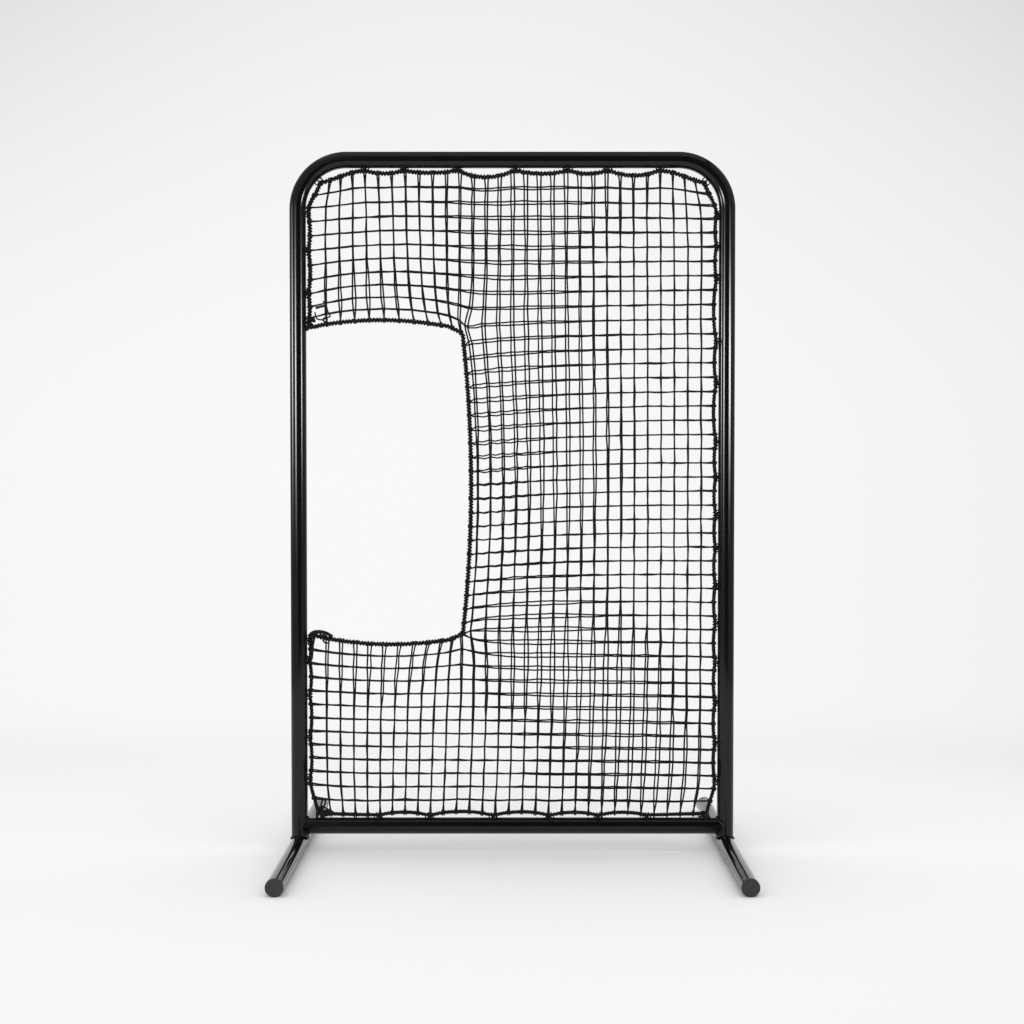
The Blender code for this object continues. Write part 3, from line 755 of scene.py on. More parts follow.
def rope_runs(frame_look, net, cords):
    """The border rope's middle line, cut into its runs between corners, and as one closed line."""
    sites = tie_sites(frame_look)
    left_bend, right_bend = (sites[name][0].rope_point() for name in ("left_bend", "right_bend"))
    low_x, low_z = POST_X - cords.corner_inset, CROSSBAR_Z + cords.corner_lift
    low_left, low_right = (np.array((x, 0.0, low_z)) for x in (-low_x, low_x))
    edge = OpeningEdge(net, cords)
    low_post, high_post, low_inner, high_inner = edge.corners()
    lower, inner, upper = edge.sides()
    sag = cords.sag_share
    # Each run's first corner and the points between its corners, clockwise from the left bend
    rows = {
        "top": (left_bend, tied_run(sites["top"], RIGHT, sag * np.array(TOP_SAGS), growth=1.0)),
        "right": (right_bend, tied_run(sites["right"], -UP, sag * POST_SAG)),
        "bottom": (low_right, tied_run(sites["bottom"], -RIGHT, sag * CROSSBAR_SAG)),
        "left_lower": (low_left, tied_run(sites["left_lower"], UP, sag * POST_SAG)),
        "opening_lower": (low_post, lower),
        "opening_inner": (low_inner, inner),
        "opening_upper": (high_inner, upper),
        "left_upper": (high_post, tied_run(sites["left_upper"], UP, sag * POST_SAG)),
    }
    knots = {name: list(points) for name, (_, points) in rows.items()}
    names = list(rows)
    for previous, name in zip((names[-1], *names), names):
        corner, points = rows[name]
        before, after = rows[previous][1][-1], points[0]
        # The rope leaves the opening's corners at the post straight along the post
        if name == "opening_lower":
            turn, shared = corner_points(edge.cut, corner - UP, corner, after), 1
        elif name == "left_upper":
            turn, shared = corner_points(edge.cut, before, corner, corner + UP), 1
        else:
            turn, shared = straight_corner(edge.cut, before, corner, after), 2
        knots[previous] += turn[:shared]
        knots[name] = turn[shared:] + knots[name]
    per_span = 8
    loop = smooth_path([point for run in knots.values() for point in run], per_span, closed=True)
    runs, first = {}, 0
    for name, run in knots.items():
        last = first + len(run) * per_span
        runs[name] = np.vstack([loop[first:last], loop[last % len(loop)]])
        first = last
    return runs, loop


def even_loop(loop, step):
    """The closed line again, with its points evenly spaced, about a step apart."""
    along = lengths_along(loop, closed=True)
    count = round(along[-1] / step)
    stations = along[-1] * np.arange(count) / count
    closed = np.vstack([loop, loop[:1]])
    path = np.stack([np.interp(stations, along, closed[:, axis]) for axis in range(3)], 1)
    return path, along[-1] / count


def wound(path, turns_along, reach, start):
    """A helix round a closed line in the frame's plane. turns_along counts the turns up to each point."""
    ahead = headings(path, closed=True)
    ahead /= np.linalg.norm(ahead, axis=1)[:, None]
    side = np.cross(ahead, BACK)
    angle = 2 * math.pi * turns_along + start
    return path + reach * (np.cos(angle)[:, None] * side + np.sin(angle)[:, None] * BACK)


class NetGrid:
    """Rows and columns of meshes round the opening. Row 0 is at the top and column 0 at the left."""

    # The opening's inner side: its first hitch below the corner in meshes, and its whole length in them
    INNER_FIRST = 0.87
    INNER_ROWS = 21.65
    # The same for the opening's long sides, from the post inwards
    EDGE_FIRST = 0.3
    EDGE_COLUMNS = 11.5
    # How far the hitches are drawn aside, as shares of their side's length: away from both bends and to
    # the right along the top, to the right and inwards along the bottom
    TOP_SPREAD, TOP_DRIFT = 0.07, 0.0045
    BOTTOM_DRIFT, BOTTOM_CROWDING = 0.0100, 0.0045
    # The same towards the opening's corners, and down and up along the posts, with the power by which
    # the upward one fades
    OPENING_CROWDING = 0.45
    RIGHT_DRIFT, RIGHT_RISE, RIGHT_FADING = 0.075, 0.2, 10
    LEFT_RISE, LEFT_FADING = 0.22, 5
    # Crossings that the twine at an inner corner of the opening holds close to it: the crossing,
    # where it is held, to the right of the corner and above it, and how firmly
    HELD_HIGH = ((12, 10), (0.006, 0.0, 0.019), 8.0)
    HELD_LOW = ((11, 34), (-0.002, 0.0, -0.040), 3.0)
    # Pull of a level strand's first mesh, which is short at the opening and long at the post
    SHORT_PULL = 1.8
    LONG_PULL = 0.87

    def __init__(self, net, runs):
        self.net = net
        self.runs = runs
        self.inner = net.opening_columns
        self.high = net.opening_top_row
        self.low = net.opening_low_row

    def upright_end(self, column, row):
        """Run and share at which an upright strand ends on the rope."""
        share = column / self.net.columns
        if row == 0:
            aside = 2 * share - 1
            spread = self.TOP_SPREAD * aside**3 * (1 - aside**2)
            return "top", share + spread + self.TOP_DRIFT * math.sin(math.pi * aside)
        if row == self.net.rows:
            drift = self.BOTTOM_DRIFT * math.sin(math.pi * share)
            crowding = self.BOTTOM_CROWDING * math.sin(2 * math.pi * share)
            return "bottom", 1 - share + (drift + crowding)
        share = (column + self.EDGE_FIRST) / self.EDGE_COLUMNS
        share += self.OPENING_CROWDING * share**3 * (1 - share)
        return ("opening_upper", 1 - share) if row == self.high else ("opening_lower", share)

    def level_end(self, column, row):
        """Run and share at which a level strand ends on the rope."""
        if column == self.net.columns:
            share = row / self.net.rows
            drift = self.RIGHT_DRIFT * share**2 * (1 - share)
            return "right", share + drift - self.RIGHT_RISE * share * (1 - share) ** self.RIGHT_FADING
        if column == self.inner:
            return "opening_inner", 1 - min((row - self.high + self.INNER_FIRST) / self.INNER_ROWS, 1.0)
        if row < self.high:
            share = row / self.high
            return "left_upper", 1 - share - self.OPENING_CROWDING * share**3 * (1 - share)
        share = (self.net.rows - row) / (self.net.rows - self.low)
        return "left_lower", share + self.LEFT_RISE * share * (1 - share) ** self.LEFT_FADING

    def strands(self):
        """Every strand as its crossings in order, with the rope at both ends, and if it is upright."""
        columns, rows = self.net.columns, self.net.rows
        found = []
        for column in range(1, columns):
            if column <= self.inner:
                found.append(([(column, row) for row in range(self.high + 1)], True))
                found.append(([(column, row) for row in range(self.low, rows + 1)], True))
            else:
                found.append(([(column, row) for row in range(rows + 1)], True))
        for row in range(1, rows):
            first = self.inner if self.high <= row <= self.low else 0
            found.append(([(column, row) for column in range(first, columns + 1)], False))
        return found

    def end(self, crossing, upright):
        """The rope's run that a strand ends on, and the share of it."""
        run, share = self.upright_end(*crossing) if upright else self.level_end(*crossing)
        return self.runs[run], share

    def relaxed(self):
        """Every free crossing in the middle of its four neighbours, and how far it can belly out."""
        strands = self.strands()
        free = sorted({crossing for line, _ in strands for crossing in line[1:-1]})
        index = {crossing: i for i, crossing in enumerate(free)}
        pull = np.zeros((len(free), len(free)))
        held = np.zeros((len(free), 3))
        for line, upright in strands:
            for one, other in zip(line, line[1:]):
                firm = 1.0
                if one is line[0] and not upright:
                    firm = self.LONG_PULL if one[0] == 0 else self.SHORT_PULL
                for crossing, neighbour in ((one, other), (other, one)):
                    if crossing is line[0] or crossing is line[-1]:
                        continue
                    i = index[crossing]
                    pull[i, i] += firm
                    if neighbour is line[0] or neighbour is line[-1]:
                        held[i] += firm * point_at(*self.end(neighbour, upright))
                    else:
                        pull[i, index[neighbour]] -= firm
        for run, (crossing, offset, firmness) in (
            ("opening_upper", self.HELD_HIGH), ("opening_inner", self.HELD_LOW),
        ):
            i = index[crossing]
            pull[i, i] += firmness
            held[i] += firmness * (self.runs[run][0] + offset)
        found = np.linalg.solve(pull, np.column_stack([held, np.ones(len(free))]))
        belly = found[:, 3] / found[:, 3].max()
        return {key: (found[i, :3], belly[i]) for key, i in index.items()}


# Slack pockets, where one layer hangs beside the other: middle across and up, spread across and up,
# and how far apart the layers are across and up
SLACK_POCKETS = (
    (0.10, 2.02, 0.29, 0.13, 0.0105, 0.0),
    (0.03, 1.63, 0.20, 0.26, 0.0095, 0.0),
    (0.14, 1.24, 0.19, 0.32, 0.0110, 0.0),
    (-0.13, 1.45, 0.05, 0.30, 0.0055, 0.0),
    (-0.46, 1.72, 0.15, 0.08, 0.0085, 0.0),
    (-0.44, 0.58, 0.17, 0.09, 0.0095, 0.0),
    (0.09, 0.58, 0.23, 0.12, 0.0110, 0.0),
    (0.30, 0.50, 0.17, 0.20, 0.0105, 0.0),
    (0.44, 0.26, 0.20, 0.18, 0.0110, 0.0),
    (0.00, 1.86, 0.20, 0.30, 0.0, -0.0100),
    (-0.06, 1.36, 0.16, 0.22, 0.0, -0.0100),
    (0.07, 0.69, 0.17, 0.19, 0.0, -0.0135),
    (0.31, 0.37, 0.33, 0.30, 0.0, -0.0085),
)


def nearness(point, x, z, spread_x, spread_z):
    """1 at a spot in the net's plane, falling smoothly round it."""
    return math.exp(-(((point[0] - x) / spread_x) ** 2) - ((point[2] - z) / spread_z) ** 2)


def slack_shift(point):
    """How far the rear layer hangs beside the front one."""
    shift = np.zeros(3)
    for *spot, shift_x, shift_z in SLACK_POCKETS:
        shift += nearness(point, *spot) * np.array((shift_x, 0.0, shift_z))
    return shift


# How far a level strand hangs between its crossings: everywhere, and how much more in a spot by the
# opening's inner edge, given by its middle across and up and its spread across and up
LEVEL_SAG = 0.0008
SPOT_SAG = 0.0042
SAG_SPOT = (-0.07, 1.17, 0.13, 0.32)


def level_sag(point, meshes):
    """How far a level strand hangs below its crossings at a point so many meshes along it."""
    return (LEVEL_SAG + SPOT_SAG * nearness(point, *SAG_SPOT)) * math.sin(math.pi * (meshes % 1))


# Shares of the twine's thickness: how far its middle lies outside the rope, a hitch's radius, and how
# far crossed strands' middles lie from their layer's
TWINE_STAND_OFF = 0.3
HITCH_RADIUS = 0.45
CROSSED = 0.25
# How far a crossing strays, and how soon the layers close in: less is sooner
STRAY = 0.0007
CLOSING_POWER = 0.35
# The two layers' hitches lie side by side: how far each is from the middle, and its share of the slack
UPRIGHT_HITCH = (0.0028, 0.5)
LEVEL_HITCH = (0.0020, 0.15)


def net_layer(grid, net, rope, rear):
    """Lines of one layer's strands, and its hitches on the rope as places and turns."""
    side = 1 if rear else -1
    stand_off = side * (rope / 2 + net.twine * TWINE_STAND_OFF)
    loosened = np.random.default_rng(REAR_SEED if rear else FRONT_SEED)
    crossings = {}
    for key, (place, inmost) in grid.relaxed().items():
        moved = place + loosened.normal(0, STRAY, 3) * (RIGHT + UP) + side * slack_shift(place) / 2
        crossings[key] = moved + BACK * (stand_off - side * net.closing * inmost**CLOSING_POWER)
    # Points of one mesh, in tenths of it: at the knot, just past it, halfway and just before the next
    mesh_steps, kept_steps = 10, (0, 1, 5, 9)
    lines, hitches, turns = [], [], []
    for line, upright in grid.strands():
        knots = []
        hitch_spread, followed = UPRIGHT_HITCH if upright else LEVEL_HITCH
        for crossing in line:
            if crossing is line[0] or crossing is line[-1]:
                run, share = grid.end(crossing, upright)
                place = point_at(run, share)
                ahead = direction_at(run, share)
                place = place + side * ahead * (ahead @ slack_shift(place) * followed + hitch_spread)
                hitches.append(place)
                turns.append(math.atan2(-ahead[2], ahead[0]))
                knots.append(place + BACK * stand_off)
            else:
                over = net.twine * (CROSSED if upright else -CROSSED)
                knots.append(crossings[crossing] + BACK * over)
        path = smooth_path(knots, mesh_steps)
        if not upright:
            path[:, 2] -= [level_sag(point, i / mesh_steps) for i, point in enumerate(path)]
        kept = [i for i in range(len(path)) if i % mesh_steps in kept_steps]
        knotted = [i % mesh_steps == 0 and 0 < i < len(path) - 1 for i in kept]
        lines.append((path[kept], np.where(knotted, net.knot, 1.0), False))
    return lines, hitches, turns


def hitch_shape(rope, twine):
    """One turn of twine round the rope, about the x axis."""
    sides, steps = 5, 10
    reach = rope / 2 + twine * TWINE_STAND_OFF
    rings = []
    for angle in full_turn(steps):
        outwards = math.cos(angle) * BACK + math.sin(angle) * UP
        rings.append(ring(outwards * reach, RIGHT, outwards, twine * HITCH_RADIUS, sides))
    return lofted("hitch", rings, closed=True)


def band_outline(cords, look, slack):
    """The way once round rope and eyelet wire, from the side away from the tube by the front.

    Gives points and their outward directions in the tie's own plane, backwards and inwards.
    """
    lean = math.asin(EYELET_SETBACK / EYELET_REACH)
    rope = np.array((0.0, ROPE_REACH + slack))
    wire = (EYELET_REACH + slack) * np.array((math.sin(lean), math.cos(lean)))
    apart = wire - rope
    heading = math.atan2(apart[1], apart[0])
    span = math.acos((cords.rope / 2 - look.eyelet_wire / 2) / np.linalg.norm(apart))
    arcs = (
        (rope, cords.rope / 2, heading + span, heading + 2 * math.pi - span),
        (wire, look.eyelet_wire / 2, heading - span, heading + span),
    )
    arc_points, outline_points = 24, 80
    points, outwards = [], []
    for centre, radius, first, last in arcs:
        for angle in np.linspace(first, last, arc_points):
            out = np.array((math.cos(angle), math.sin(angle)))
            points.append(centre + radius * out)
            outwards.append(out)
    points, outwards = np.array(points), np.array(outwards)
    start = int(points[:, 1].argmax())
    points = np.roll(points, -start, 0)
    outwards = np.roll(outwards, -start, 0)
    along = lengths_along(points, closed=True)
    stations = np.arange(outline_points) / outline_points * along[-1]
    both = np.hstack([points, outwards])
    both = np.vstack([both, both[:1]])
    even = np.stack([np.interp(stations, along, both[:, k]) for k in range(4)], 1)
    return even[:, :2], even[:, 2:]


def swung(x, z, turn):
    """Places across and up, turned in their plane."""
    return x * math.cos(turn) - z * math.sin(turn), x * math.sin(turn) + z * math.cos(turn)


def overhand_knot(centre, size, turn):
    """A small closed knot, flat to the front."""
    points, curve_reach = 36, 3
    t = full_turn(points)
    x, z = swung(np.sin(t) + 2 * np.sin(2 * t), np.cos(t) - 2 * np.cos(2 * t), turn)
    return centre + size / curve_reach * np.stack([x, -np.sin(3 * t), z], 1)


def loose_loop(centre, width, height, tilt):
    """An oval loop of cord, a little out of its plane."""
    points, bulge = 20, 0.003
    angles = full_turn(points)
    x, z = swung(width * np.cos(angles), height * np.sin(angles), tilt)
    return centre + np.stack([x, -bulge * np.cos(2 * angles), z], 1)


# Places of the knots at the lower corners, in from the post's middle and up from the crossbar's,
# and how thick the corners' cord is, as a share of the lashings'
RIGHT_SPOT = (0.0625, 0.033)
LEFT_SPOT = (0.0640, 0.045)
CORNER_CORD = 2.9
# Knots, loops and tails where the net's corners are tied up: by which corner, how far to its right
# and above it, then a knot's size and turn, a loop's half width, half height and tilt, or a tail's
# thickness as a share and its points
CORNER_KNOTS = (
    ("right", 0.002, -0.002, 0.0105, 0.4),
    ("right", 0.003, -0.005, 0.0070, 1.9),
    ("left", 0.0, 0.0, 0.0105, 1.1),
    ("left", 0.018, -0.004, 0.0085, 2.0),
    ("left", 0.009, -0.011, 0.0080, 0.2),
    ("left", 0.004, 0.010, 0.0070, 2.6),
    ("low", 0.043, -0.004, 0.0100, 0.5),
    ("low", 0.006, -0.003, 0.0070, 2.2),
    ("high", 0.0125, 0.0230, 0.0080, 0.8),
    ("high", 0.0040, 0.0060, 0.0085, 1.7),
    ("high", -0.0045, -0.0028, 0.0070, 1.7),
)
CORNER_LOOPS = (
    ("left", 0.012, 0.003, 0.022, 0.009, -0.35),
    ("left", 0.022, -0.004, 0.016, 0.008, 0.25),
    ("left", -0.004, -0.010, 0.007, 0.013, 0.1),
    ("left", 0.010, 0.026, 0.006, 0.012, -0.3),
    ("right", -0.010, 0.004, 0.012, 0.006, 0.6),
    ("high", 0.0030, 0.0120, 0.0045, 0.0050, 0.0),
    ("high", 0.0510, 0.0230, 0.0060, 0.0060, 0.0),
    ("low", 0.026, 0.001, 0.010, 0.006, -0.2),
)
CORNER_TAILS = (
    ("right", 2.6, (0.0, 0.001), (0.001, -0.004)),
    ("right", 1.0, (0, 0), (0.010, -0.002), (0.017, -0.012)),
    ("right", 1.0, (0, 0), (-0.004, -0.010), (-0.001, -0.021)),
    ("left", 1.0, (0, 0), (-0.006, -0.012), (-0.013, -0.020)),
    ("left", 1.0, (0, 0), (0.030, 0.004), (0.044, -0.004)),
    ("low", 1.9, (0.002, 0.004), (0.016, 0.010), (0.037, 0.010), (0.056, 0.004), (0.071, -0.006)),
    ("low", 1.0, (0.040, -0.014), (0.048, -0.024), (0.058, -0.025)),
    ("low", 1.5, (0.015, -0.006), (0.010, -0.028), (0.008, -0.052), (0.006, -0.075)),
    ("low", 1.4, (0.004, -0.062), (-0.004, -0.068), (-0.010, -0.066)),
    ("high", 0.9, (0.0190, 0.0460), (0.0260, 0.0260), (0.0420, 0.0230), (0.0560, 0.0290), (0.0670, 0.0328)),
    ("high", 1.4, (0.0220, 0.0585), (0.0360, 0.0625), (0.0500, 0.0662)),
    ("high", 0.9, (0.0450, 0.0800), (0.0545, 0.0650), (0.0590, 0.0490), (0.0670, 0.0330)),
)


def lashing_lines(site, cords, look, rng):
    """Crossed turns round rope and eyelet, a knot in front of them and its two tails."""
    cord = cords.tie_cord
    outline, outwards = band_outline(cords, look, site.slack)
    # How much narrower the last turn is, how far the first one's middle lies from what it holds and
    # how much further the last one's, in cords
    steps_per_turn, narrowing, first_lift, rise = 20, 0.45, 0.5, 0.55
    progress = np.arange(steps_per_turn * cords.tie_turns + 1) / steps_per_turn
    station = (progress % 1 * len(outline)).astype(int) % len(outline)
    half = cords.tie_width / 2 * (1 - narrowing * progress / cords.tie_turns) * rng.uniform(0.85, 1.15)
    # Each turn crosses to the band's other edge at the front and stays there behind
    swing = np.interp(progress % 2, (0.05, 0.45, 1.05, 1.45), (1, -1, -1, 1))
    lift = cord * (first_lift + rise * progress / cords.tie_turns)
    band = outline[station] + outwards[station] * lift[:, None]
    turns = site.placed(np.column_stack([half * swing, band]))
    # The knot sits on the tube's shoulder, over the band's front
    knot_size, knot_gap, front_gap = cord * 1.9, cord * 0.6, cord * 1.4
    shoulder = math.radians(rng.uniform(26, 40))
    knot_reach = TUBE_RADIUS + knot_size + knot_gap
    aside = rng.uniform(-0.002, 0.002)
    knot = np.array((aside, -knot_reach * math.sin(shoulder), knot_reach * math.cos(shoulder)))
    knot_line = overhand_knot(site.placed([knot])[0], knot_size, rng.uniform(0, 6))
    lines = [(turns, 1.0, False), (knot_line, 1.0, True)]
    front = np.array((0.0, -cords.rope / 2 - front_gap, ROPE_REACH + site.slack))
    lead_apart, lead_bulge, tail_bulge, droop, steps = 0.0025, 0.001, 0.002, 0.3, 4
    for hand in (-1, 1):
        start = front + (hand * lead_apart, 0, lead_bulge)
        lead = [start, (start + knot) / 2 - lead_bulge * BACK, knot]
        reach = rng.uniform(0.006, 0.013)
        slope = rng.uniform(-0.6, 0.9)
        halfway = knot + (hand * reach / 2, -tail_bulge, reach * droop * slope)
        tail = [knot, halfway, knot + (hand * reach, -tail_bulge / 2, reach * slope)]
        lines += [(smooth_path(site.placed(points), steps), 1.0, False) for points in (lead, tail)]
    return lines


def saddle_height(across):
    """Height above a tube's middle at which a tube that stands on it ends."""
    reach = TUBE_RADIUS + CLEARANCE
    return np.maximum(EAR_TRIM, np.sqrt(np.maximum(reach**2 - across**2, 0.0)))


def tube_sections(look, path, radius):
    """Sections of a tube whose middle line lies in the frame's plane."""
    ahead = headings(path)
    ahead /= np.linalg.norm(ahead, axis=1)[:, None]
    sides = np.cross(ahead, BACK)
    return [ring(point, side, BACK, radius, look.tube_sides) for point, side in zip(path, sides)]


def cut_tube(name, look, path, cut):
    """A tube along a path, whose ends are cut to fit the tubes that they meet.

    cut moves the points of one end section, which is at the path's start where its side is -1.
    """
    walls = []
    for radius in (TUBE_RADIUS, TUBE_RADIUS - look.tube_wall):
        sections = tube_sections(look, np.array(path), radius)
        cut(sections[0], -1)
        cut(sections[-1], 1)
        walls.append(sections)
    return lofted(name, walls[0] + walls[1][::-1], closed=True)


def hoop_mesh(look):
    """Both posts and the top bar, bent from one tube and cut to sit on the feet."""
    radius = look.bend_radius
    centre_x, centre_z = POST_X - radius, TOP_Z - radius
    angles = math.pi - math.pi / 2 * np.arange(look.bend_steps + 1) / look.bend_steps
    bend = [(radius * math.cos(a) - centre_x, 0.0, centre_z + radius * math.sin(a)) for a in angles]
    left = [(-POST_X, 0.0, FOOT_Z), (-POST_X, 0.0, CROSSBAR_Z + TUBE_RADIUS * 2), *bend]
    path = left + [(-x, y, z) for x, y, z in reversed(left)]

    def sit_on_foot(end, side):
        end[:, 2] = FOOT_Z + saddle_height(end[:, 0] - side * POST_X)

    return cut_tube("hoop", look, path, sit_on_foot)


def crossbar_mesh(look):
    """The crossbar, cut at both ends to fit round the posts."""
    inset = TUBE_RADIUS * 2
    path = [(x, 0.0, CROSSBAR_Z) for x in (-POST_X, inset - POST_X, POST_X - inset, POST_X)]

    def fit_to_post(end, side):
        end[:, 0] = side * (POST_X - saddle_height(end[:, 1]))

    return cut_tube("crossbar", look, path, fit_to_post)


def foot_mesh(look, side):
    """One foot tube, open at both ends for its caps."""
    chamfer = 0.0004
    stations = (-FOOT_HALF, chamfer - FOOT_HALF, FOOT_HALF - chamfer, FOOT_HALF)
    sections = []
    for radius, inwards in ((TUBE_RADIUS, 1), (TUBE_RADIUS - look.tube_wall, -1)):
        for y in stations[::inwards]:
            trimmed = radius - inwards * chamfer if abs(y) == FOOT_HALF else radius
            centre = np.array((side * POST_X, y, FOOT_Z))
            sections.append(ring(centre, RIGHT, UP, trimmed, look.tube_sides))
    return lofted("foot", sections, closed=True)


def cap_mesh(cap, wall, sides):
    """A moulded plug cap about +Y, with its face towards -Y and its ribbed stem behind it."""
    # The dish's depth, and where its face begins, slopes and ends, as shares of the cap's radius
    dish, centre, dish_edge, dish_rim = 0.0005, 0.12, 0.74, 0.80
    ribs, rib_half, crest_half, play, nick = 3, 0.002, 0.0005, 0.001, 0.0004
    bore = TUBE_RADIUS - wall - CLEARANCE
    stem = bore - play
    profile = [(dish, CAP_RADIUS * centre), (dish, CAP_RADIUS * dish_edge), (0.0, CAP_RADIUS * dish_rim)]
    for angle in np.radians(range(0, 91, 15)):
        inset = cap.edge * (1 - math.sin(angle))
        profile.append((cap.edge * (1 - math.cos(angle)), CAP_RADIUS - inset))
    profile += [(cap.rim - nick, CAP_RADIUS), (cap.rim, CAP_RADIUS - nick), (cap.rim, stem)]
    for k in range(ribs):
        middle = cap.rim + cap.stem * (k + 1) / (ribs + 1)
        profile += [(middle - rib_half, stem), (middle - crest_half, bore), (middle + rib_half, stem)]
    end = cap.rim + cap.stem
    inner = stem - cap.stem_wall
    profile += [(end - play, stem), (end, stem - play), (end, inner), (cap.rim, inner - crest_half)]
    rings = [ring(BACK * depth, RIGHT, UP, radius, sides) for depth, radius in profile]
    return lofted("plug_cap", rings, closed=False, smooth_angle=math.radians(28))


def bead_mesh(look, centre, stub, saddle, across):
    """A rippled weld bead where one tube stands on another.

    stub points along the standing tube, saddle along the one it meets and across square to both.
    """
    # The last three are shares of the bead's radius
    points_each, sides, standing_out, valley, crest_share = 5, 12, 0.8, 0.86, 0.2
    reach = TUBE_RADIUS + look.bead / 2 * standing_out
    angles = full_turn(look.ripples * points_each)
    heights = np.hypot(reach * np.sin(angles), EAR_TRIM * np.cos(angles))
    path = (
        centre + reach * (np.cos(angles)[:, None] * across + np.sin(angles)[:, None] * saddle)
        + heights[:, None] * stub
    )
    ahead = headings(path, closed=True)
    rings = []
    for k, point in enumerate(path):
        outwards = unit(point - centre - heights[k] * stub)
        side = unit(np.cross(ahead[k], outwards))
        outwards = np.cross(side, unit(ahead[k]))
        crest = crest_share * abs(math.cos(math.pi * k / points_each))
        rings.append(ring(point, side, outwards, look.bead / 2 * (valley + crest), sides))
    return lofted("bead", rings, closed=True, smooth_angle=math.radians(60))


def eyelet_shape(look, slack):
    """A staple of round wire, with the weld where its legs enter the tube, at a tie site's own place."""
    lean = math.asin(EYELET_SETBACK / EYELET_REACH)
    outwards = np.array((0.0, math.sin(lean), math.cos(lean)))
    square = np.cross(RIGHT, outwards)
    half = look.eyelet_length / 2 * RIGHT
    crown = outwards * (EYELET_REACH + slack)
    root = outwards * (TUBE_RADIUS - look.tube_wall)
    sides, per_span, bend = 12, 4, look.eyelet_wire * 0.9
    left_bend = corner_points(bend, root - half, crown - half, crown)
    right_bend = corner_points(bend, crown, crown + half, root + half)
    path = smooth_path([root - half, *left_bend, *right_bend, root + half], per_span)
    rings = [
        ring(point, unit(np.cross(along, square)), square, look.eyelet_wire / 2, sides)
        for point, along in zip(path, headings(path))
    ]
    parts = [lofted("staple", rings, closed=False)]
    weld_sink, weld_height, weld_radius = 0.0004, look.eyelet_wire * 0.45, look.eyelet_wire * 0.8
    for side in (-1, 1):
        foot = outwards * (TUBE_RADIUS - weld_sink) + side * half
        rings = []
        for angle in np.radians((-60, -20, 20, 50, 75)):
            middle = foot + outwards * math.sin(angle) * weld_height
            rings.append(ring(middle, RIGHT, square, weld_radius * math.cos(angle), sides))
        parts.append(lofted("root", rings, closed=False))
    return joined("eyelet", parts)


def coat(look):
    """The powder coat, made once."""
    return bpy.data.materials.get("gloss_black_coat") or powder_coat(look)


def tie_finish(cords):
    """The finish of lashings and whipping, made once."""
    name = "tie_cord_finish"
    found = bpy.data.materials.get(name)
    return found or twisted_cord(name, cords.colour, strands=3, lay=0.008, relief=0.0002)


# A rope strand's radius, as a share of the rope's thickness
STRAND_RADIUS = 0.27


def even_turns(loop, pitch, points_each):
    """The closed line evenly spaced, each point's share of its length and its number of whole turns."""
    path, step = even_loop(loop, pitch / points_each)
    return path, np.arange(len(path)) / len(path), round(len(path) * step / pitch)


def laid_strands(loop, cords, radius):
    """The rope's three strands, each a helix round its middle line."""
    strands, points_each = 3, 12
    path, share, turns = even_turns(loop, cords.rope_lay, points_each)
    reach = cords.rope / 2 - radius
    return [(wound(path, turns * share, reach, start), 1.0, True) for start in full_turn(strands)]


def whipping_line(loop, net, cords):
    """The twine wound round the rope, crowded here and there, with its thickness along it.

    It is heavier along the top, round the opening and on the post above the opening.
    """
    # How far turns are drawn together, about how many turns lie from one crowd to the next, and how
    # far the twine's middle lies outside the rope, as a share of its thickness
    crowded, turns_between, pressed = 0.35, 2.6, 0.05
    points_each = 9
    path, share, turns = even_turns(loop, cords.whipping_pitch, points_each)
    crowding = crowded / (2 * math.pi) * np.sin(2 * math.pi * share * round(turns / turns_between))
    top_reach, past_inner, below_opening = 0.12, 0.05, 0.03
    edge = OpeningEdge(net, cords)
    by_opening = (path[:, 0] < edge.inner + past_inner) & (path[:, 2] > edge.bottom - below_opening)
    swell = np.where((path[:, 2] > TOP_Z - top_reach) | by_opening, cords.heavy_whipping, 1.0)
    reach = cords.rope / 2 + cords.whipping * swell * pressed
    return wound(path, -(turns * share + crowding), reach[:, None], 0.0), swell, True


class PITCHING_SCREEN_OT_tubes(bpy.types.Operator):
    """Builds the hoop, the crossbar and both feet"""

    bl_idname = "pitching_screen.tubes"
    bl_label = "Tubes"

    def execute(self, context):
        look = context.scene.screen_frame
        hand_over(add_piece("hoop_tube", hoop_mesh(look), coat(look)), "powder_coat", "frame_hoop")
        crossbar = add_piece("crossbar_tube", crossbar_mesh(look), coat(look))
        hand_over(crossbar, "powder_coat", "bottom_crossbar")
        for name, side in (("left", -1), ("right", 1)):
            foot = add_piece(f"{name}_foot_tube", foot_mesh(look, side), coat(look))
            hand_over(foot, "powder_coat", f"{name}_foot")
        return {"FINISHED"}


class PITCHING_SCREEN_OT_plug_caps(bpy.types.Operator):
    """Builds the four plug caps"""

    bl_idname = "pitching_screen.plug_caps"
    bl_label = "Plug Caps"

    def execute(self, context):
        look = context.scene.screen_frame
        cap = context.scene.screen_cap
        finish = cap_plastic(cap)
        for hand, side in (("left", -1), ("right", 1)):
            for end, facing in (("front", -1), ("rear", 1)):
                mesh = cap_mesh(cap, look.tube_wall, look.tube_sides)
                turn = Matrix.Rotation(math.pi if facing > 0 else 0.0, 4, "Z")
                mesh.transform(Matrix.Translation((side * POST_X, facing * CAP_FACE, FOOT_Z)) @ turn)
                piece = add_piece(f"{end}_{hand}_plug_cap", mesh, finish)
                hand_over(piece, "cap_plastic", f"{end}_{hand}_cap")
        return {"FINISHED"}


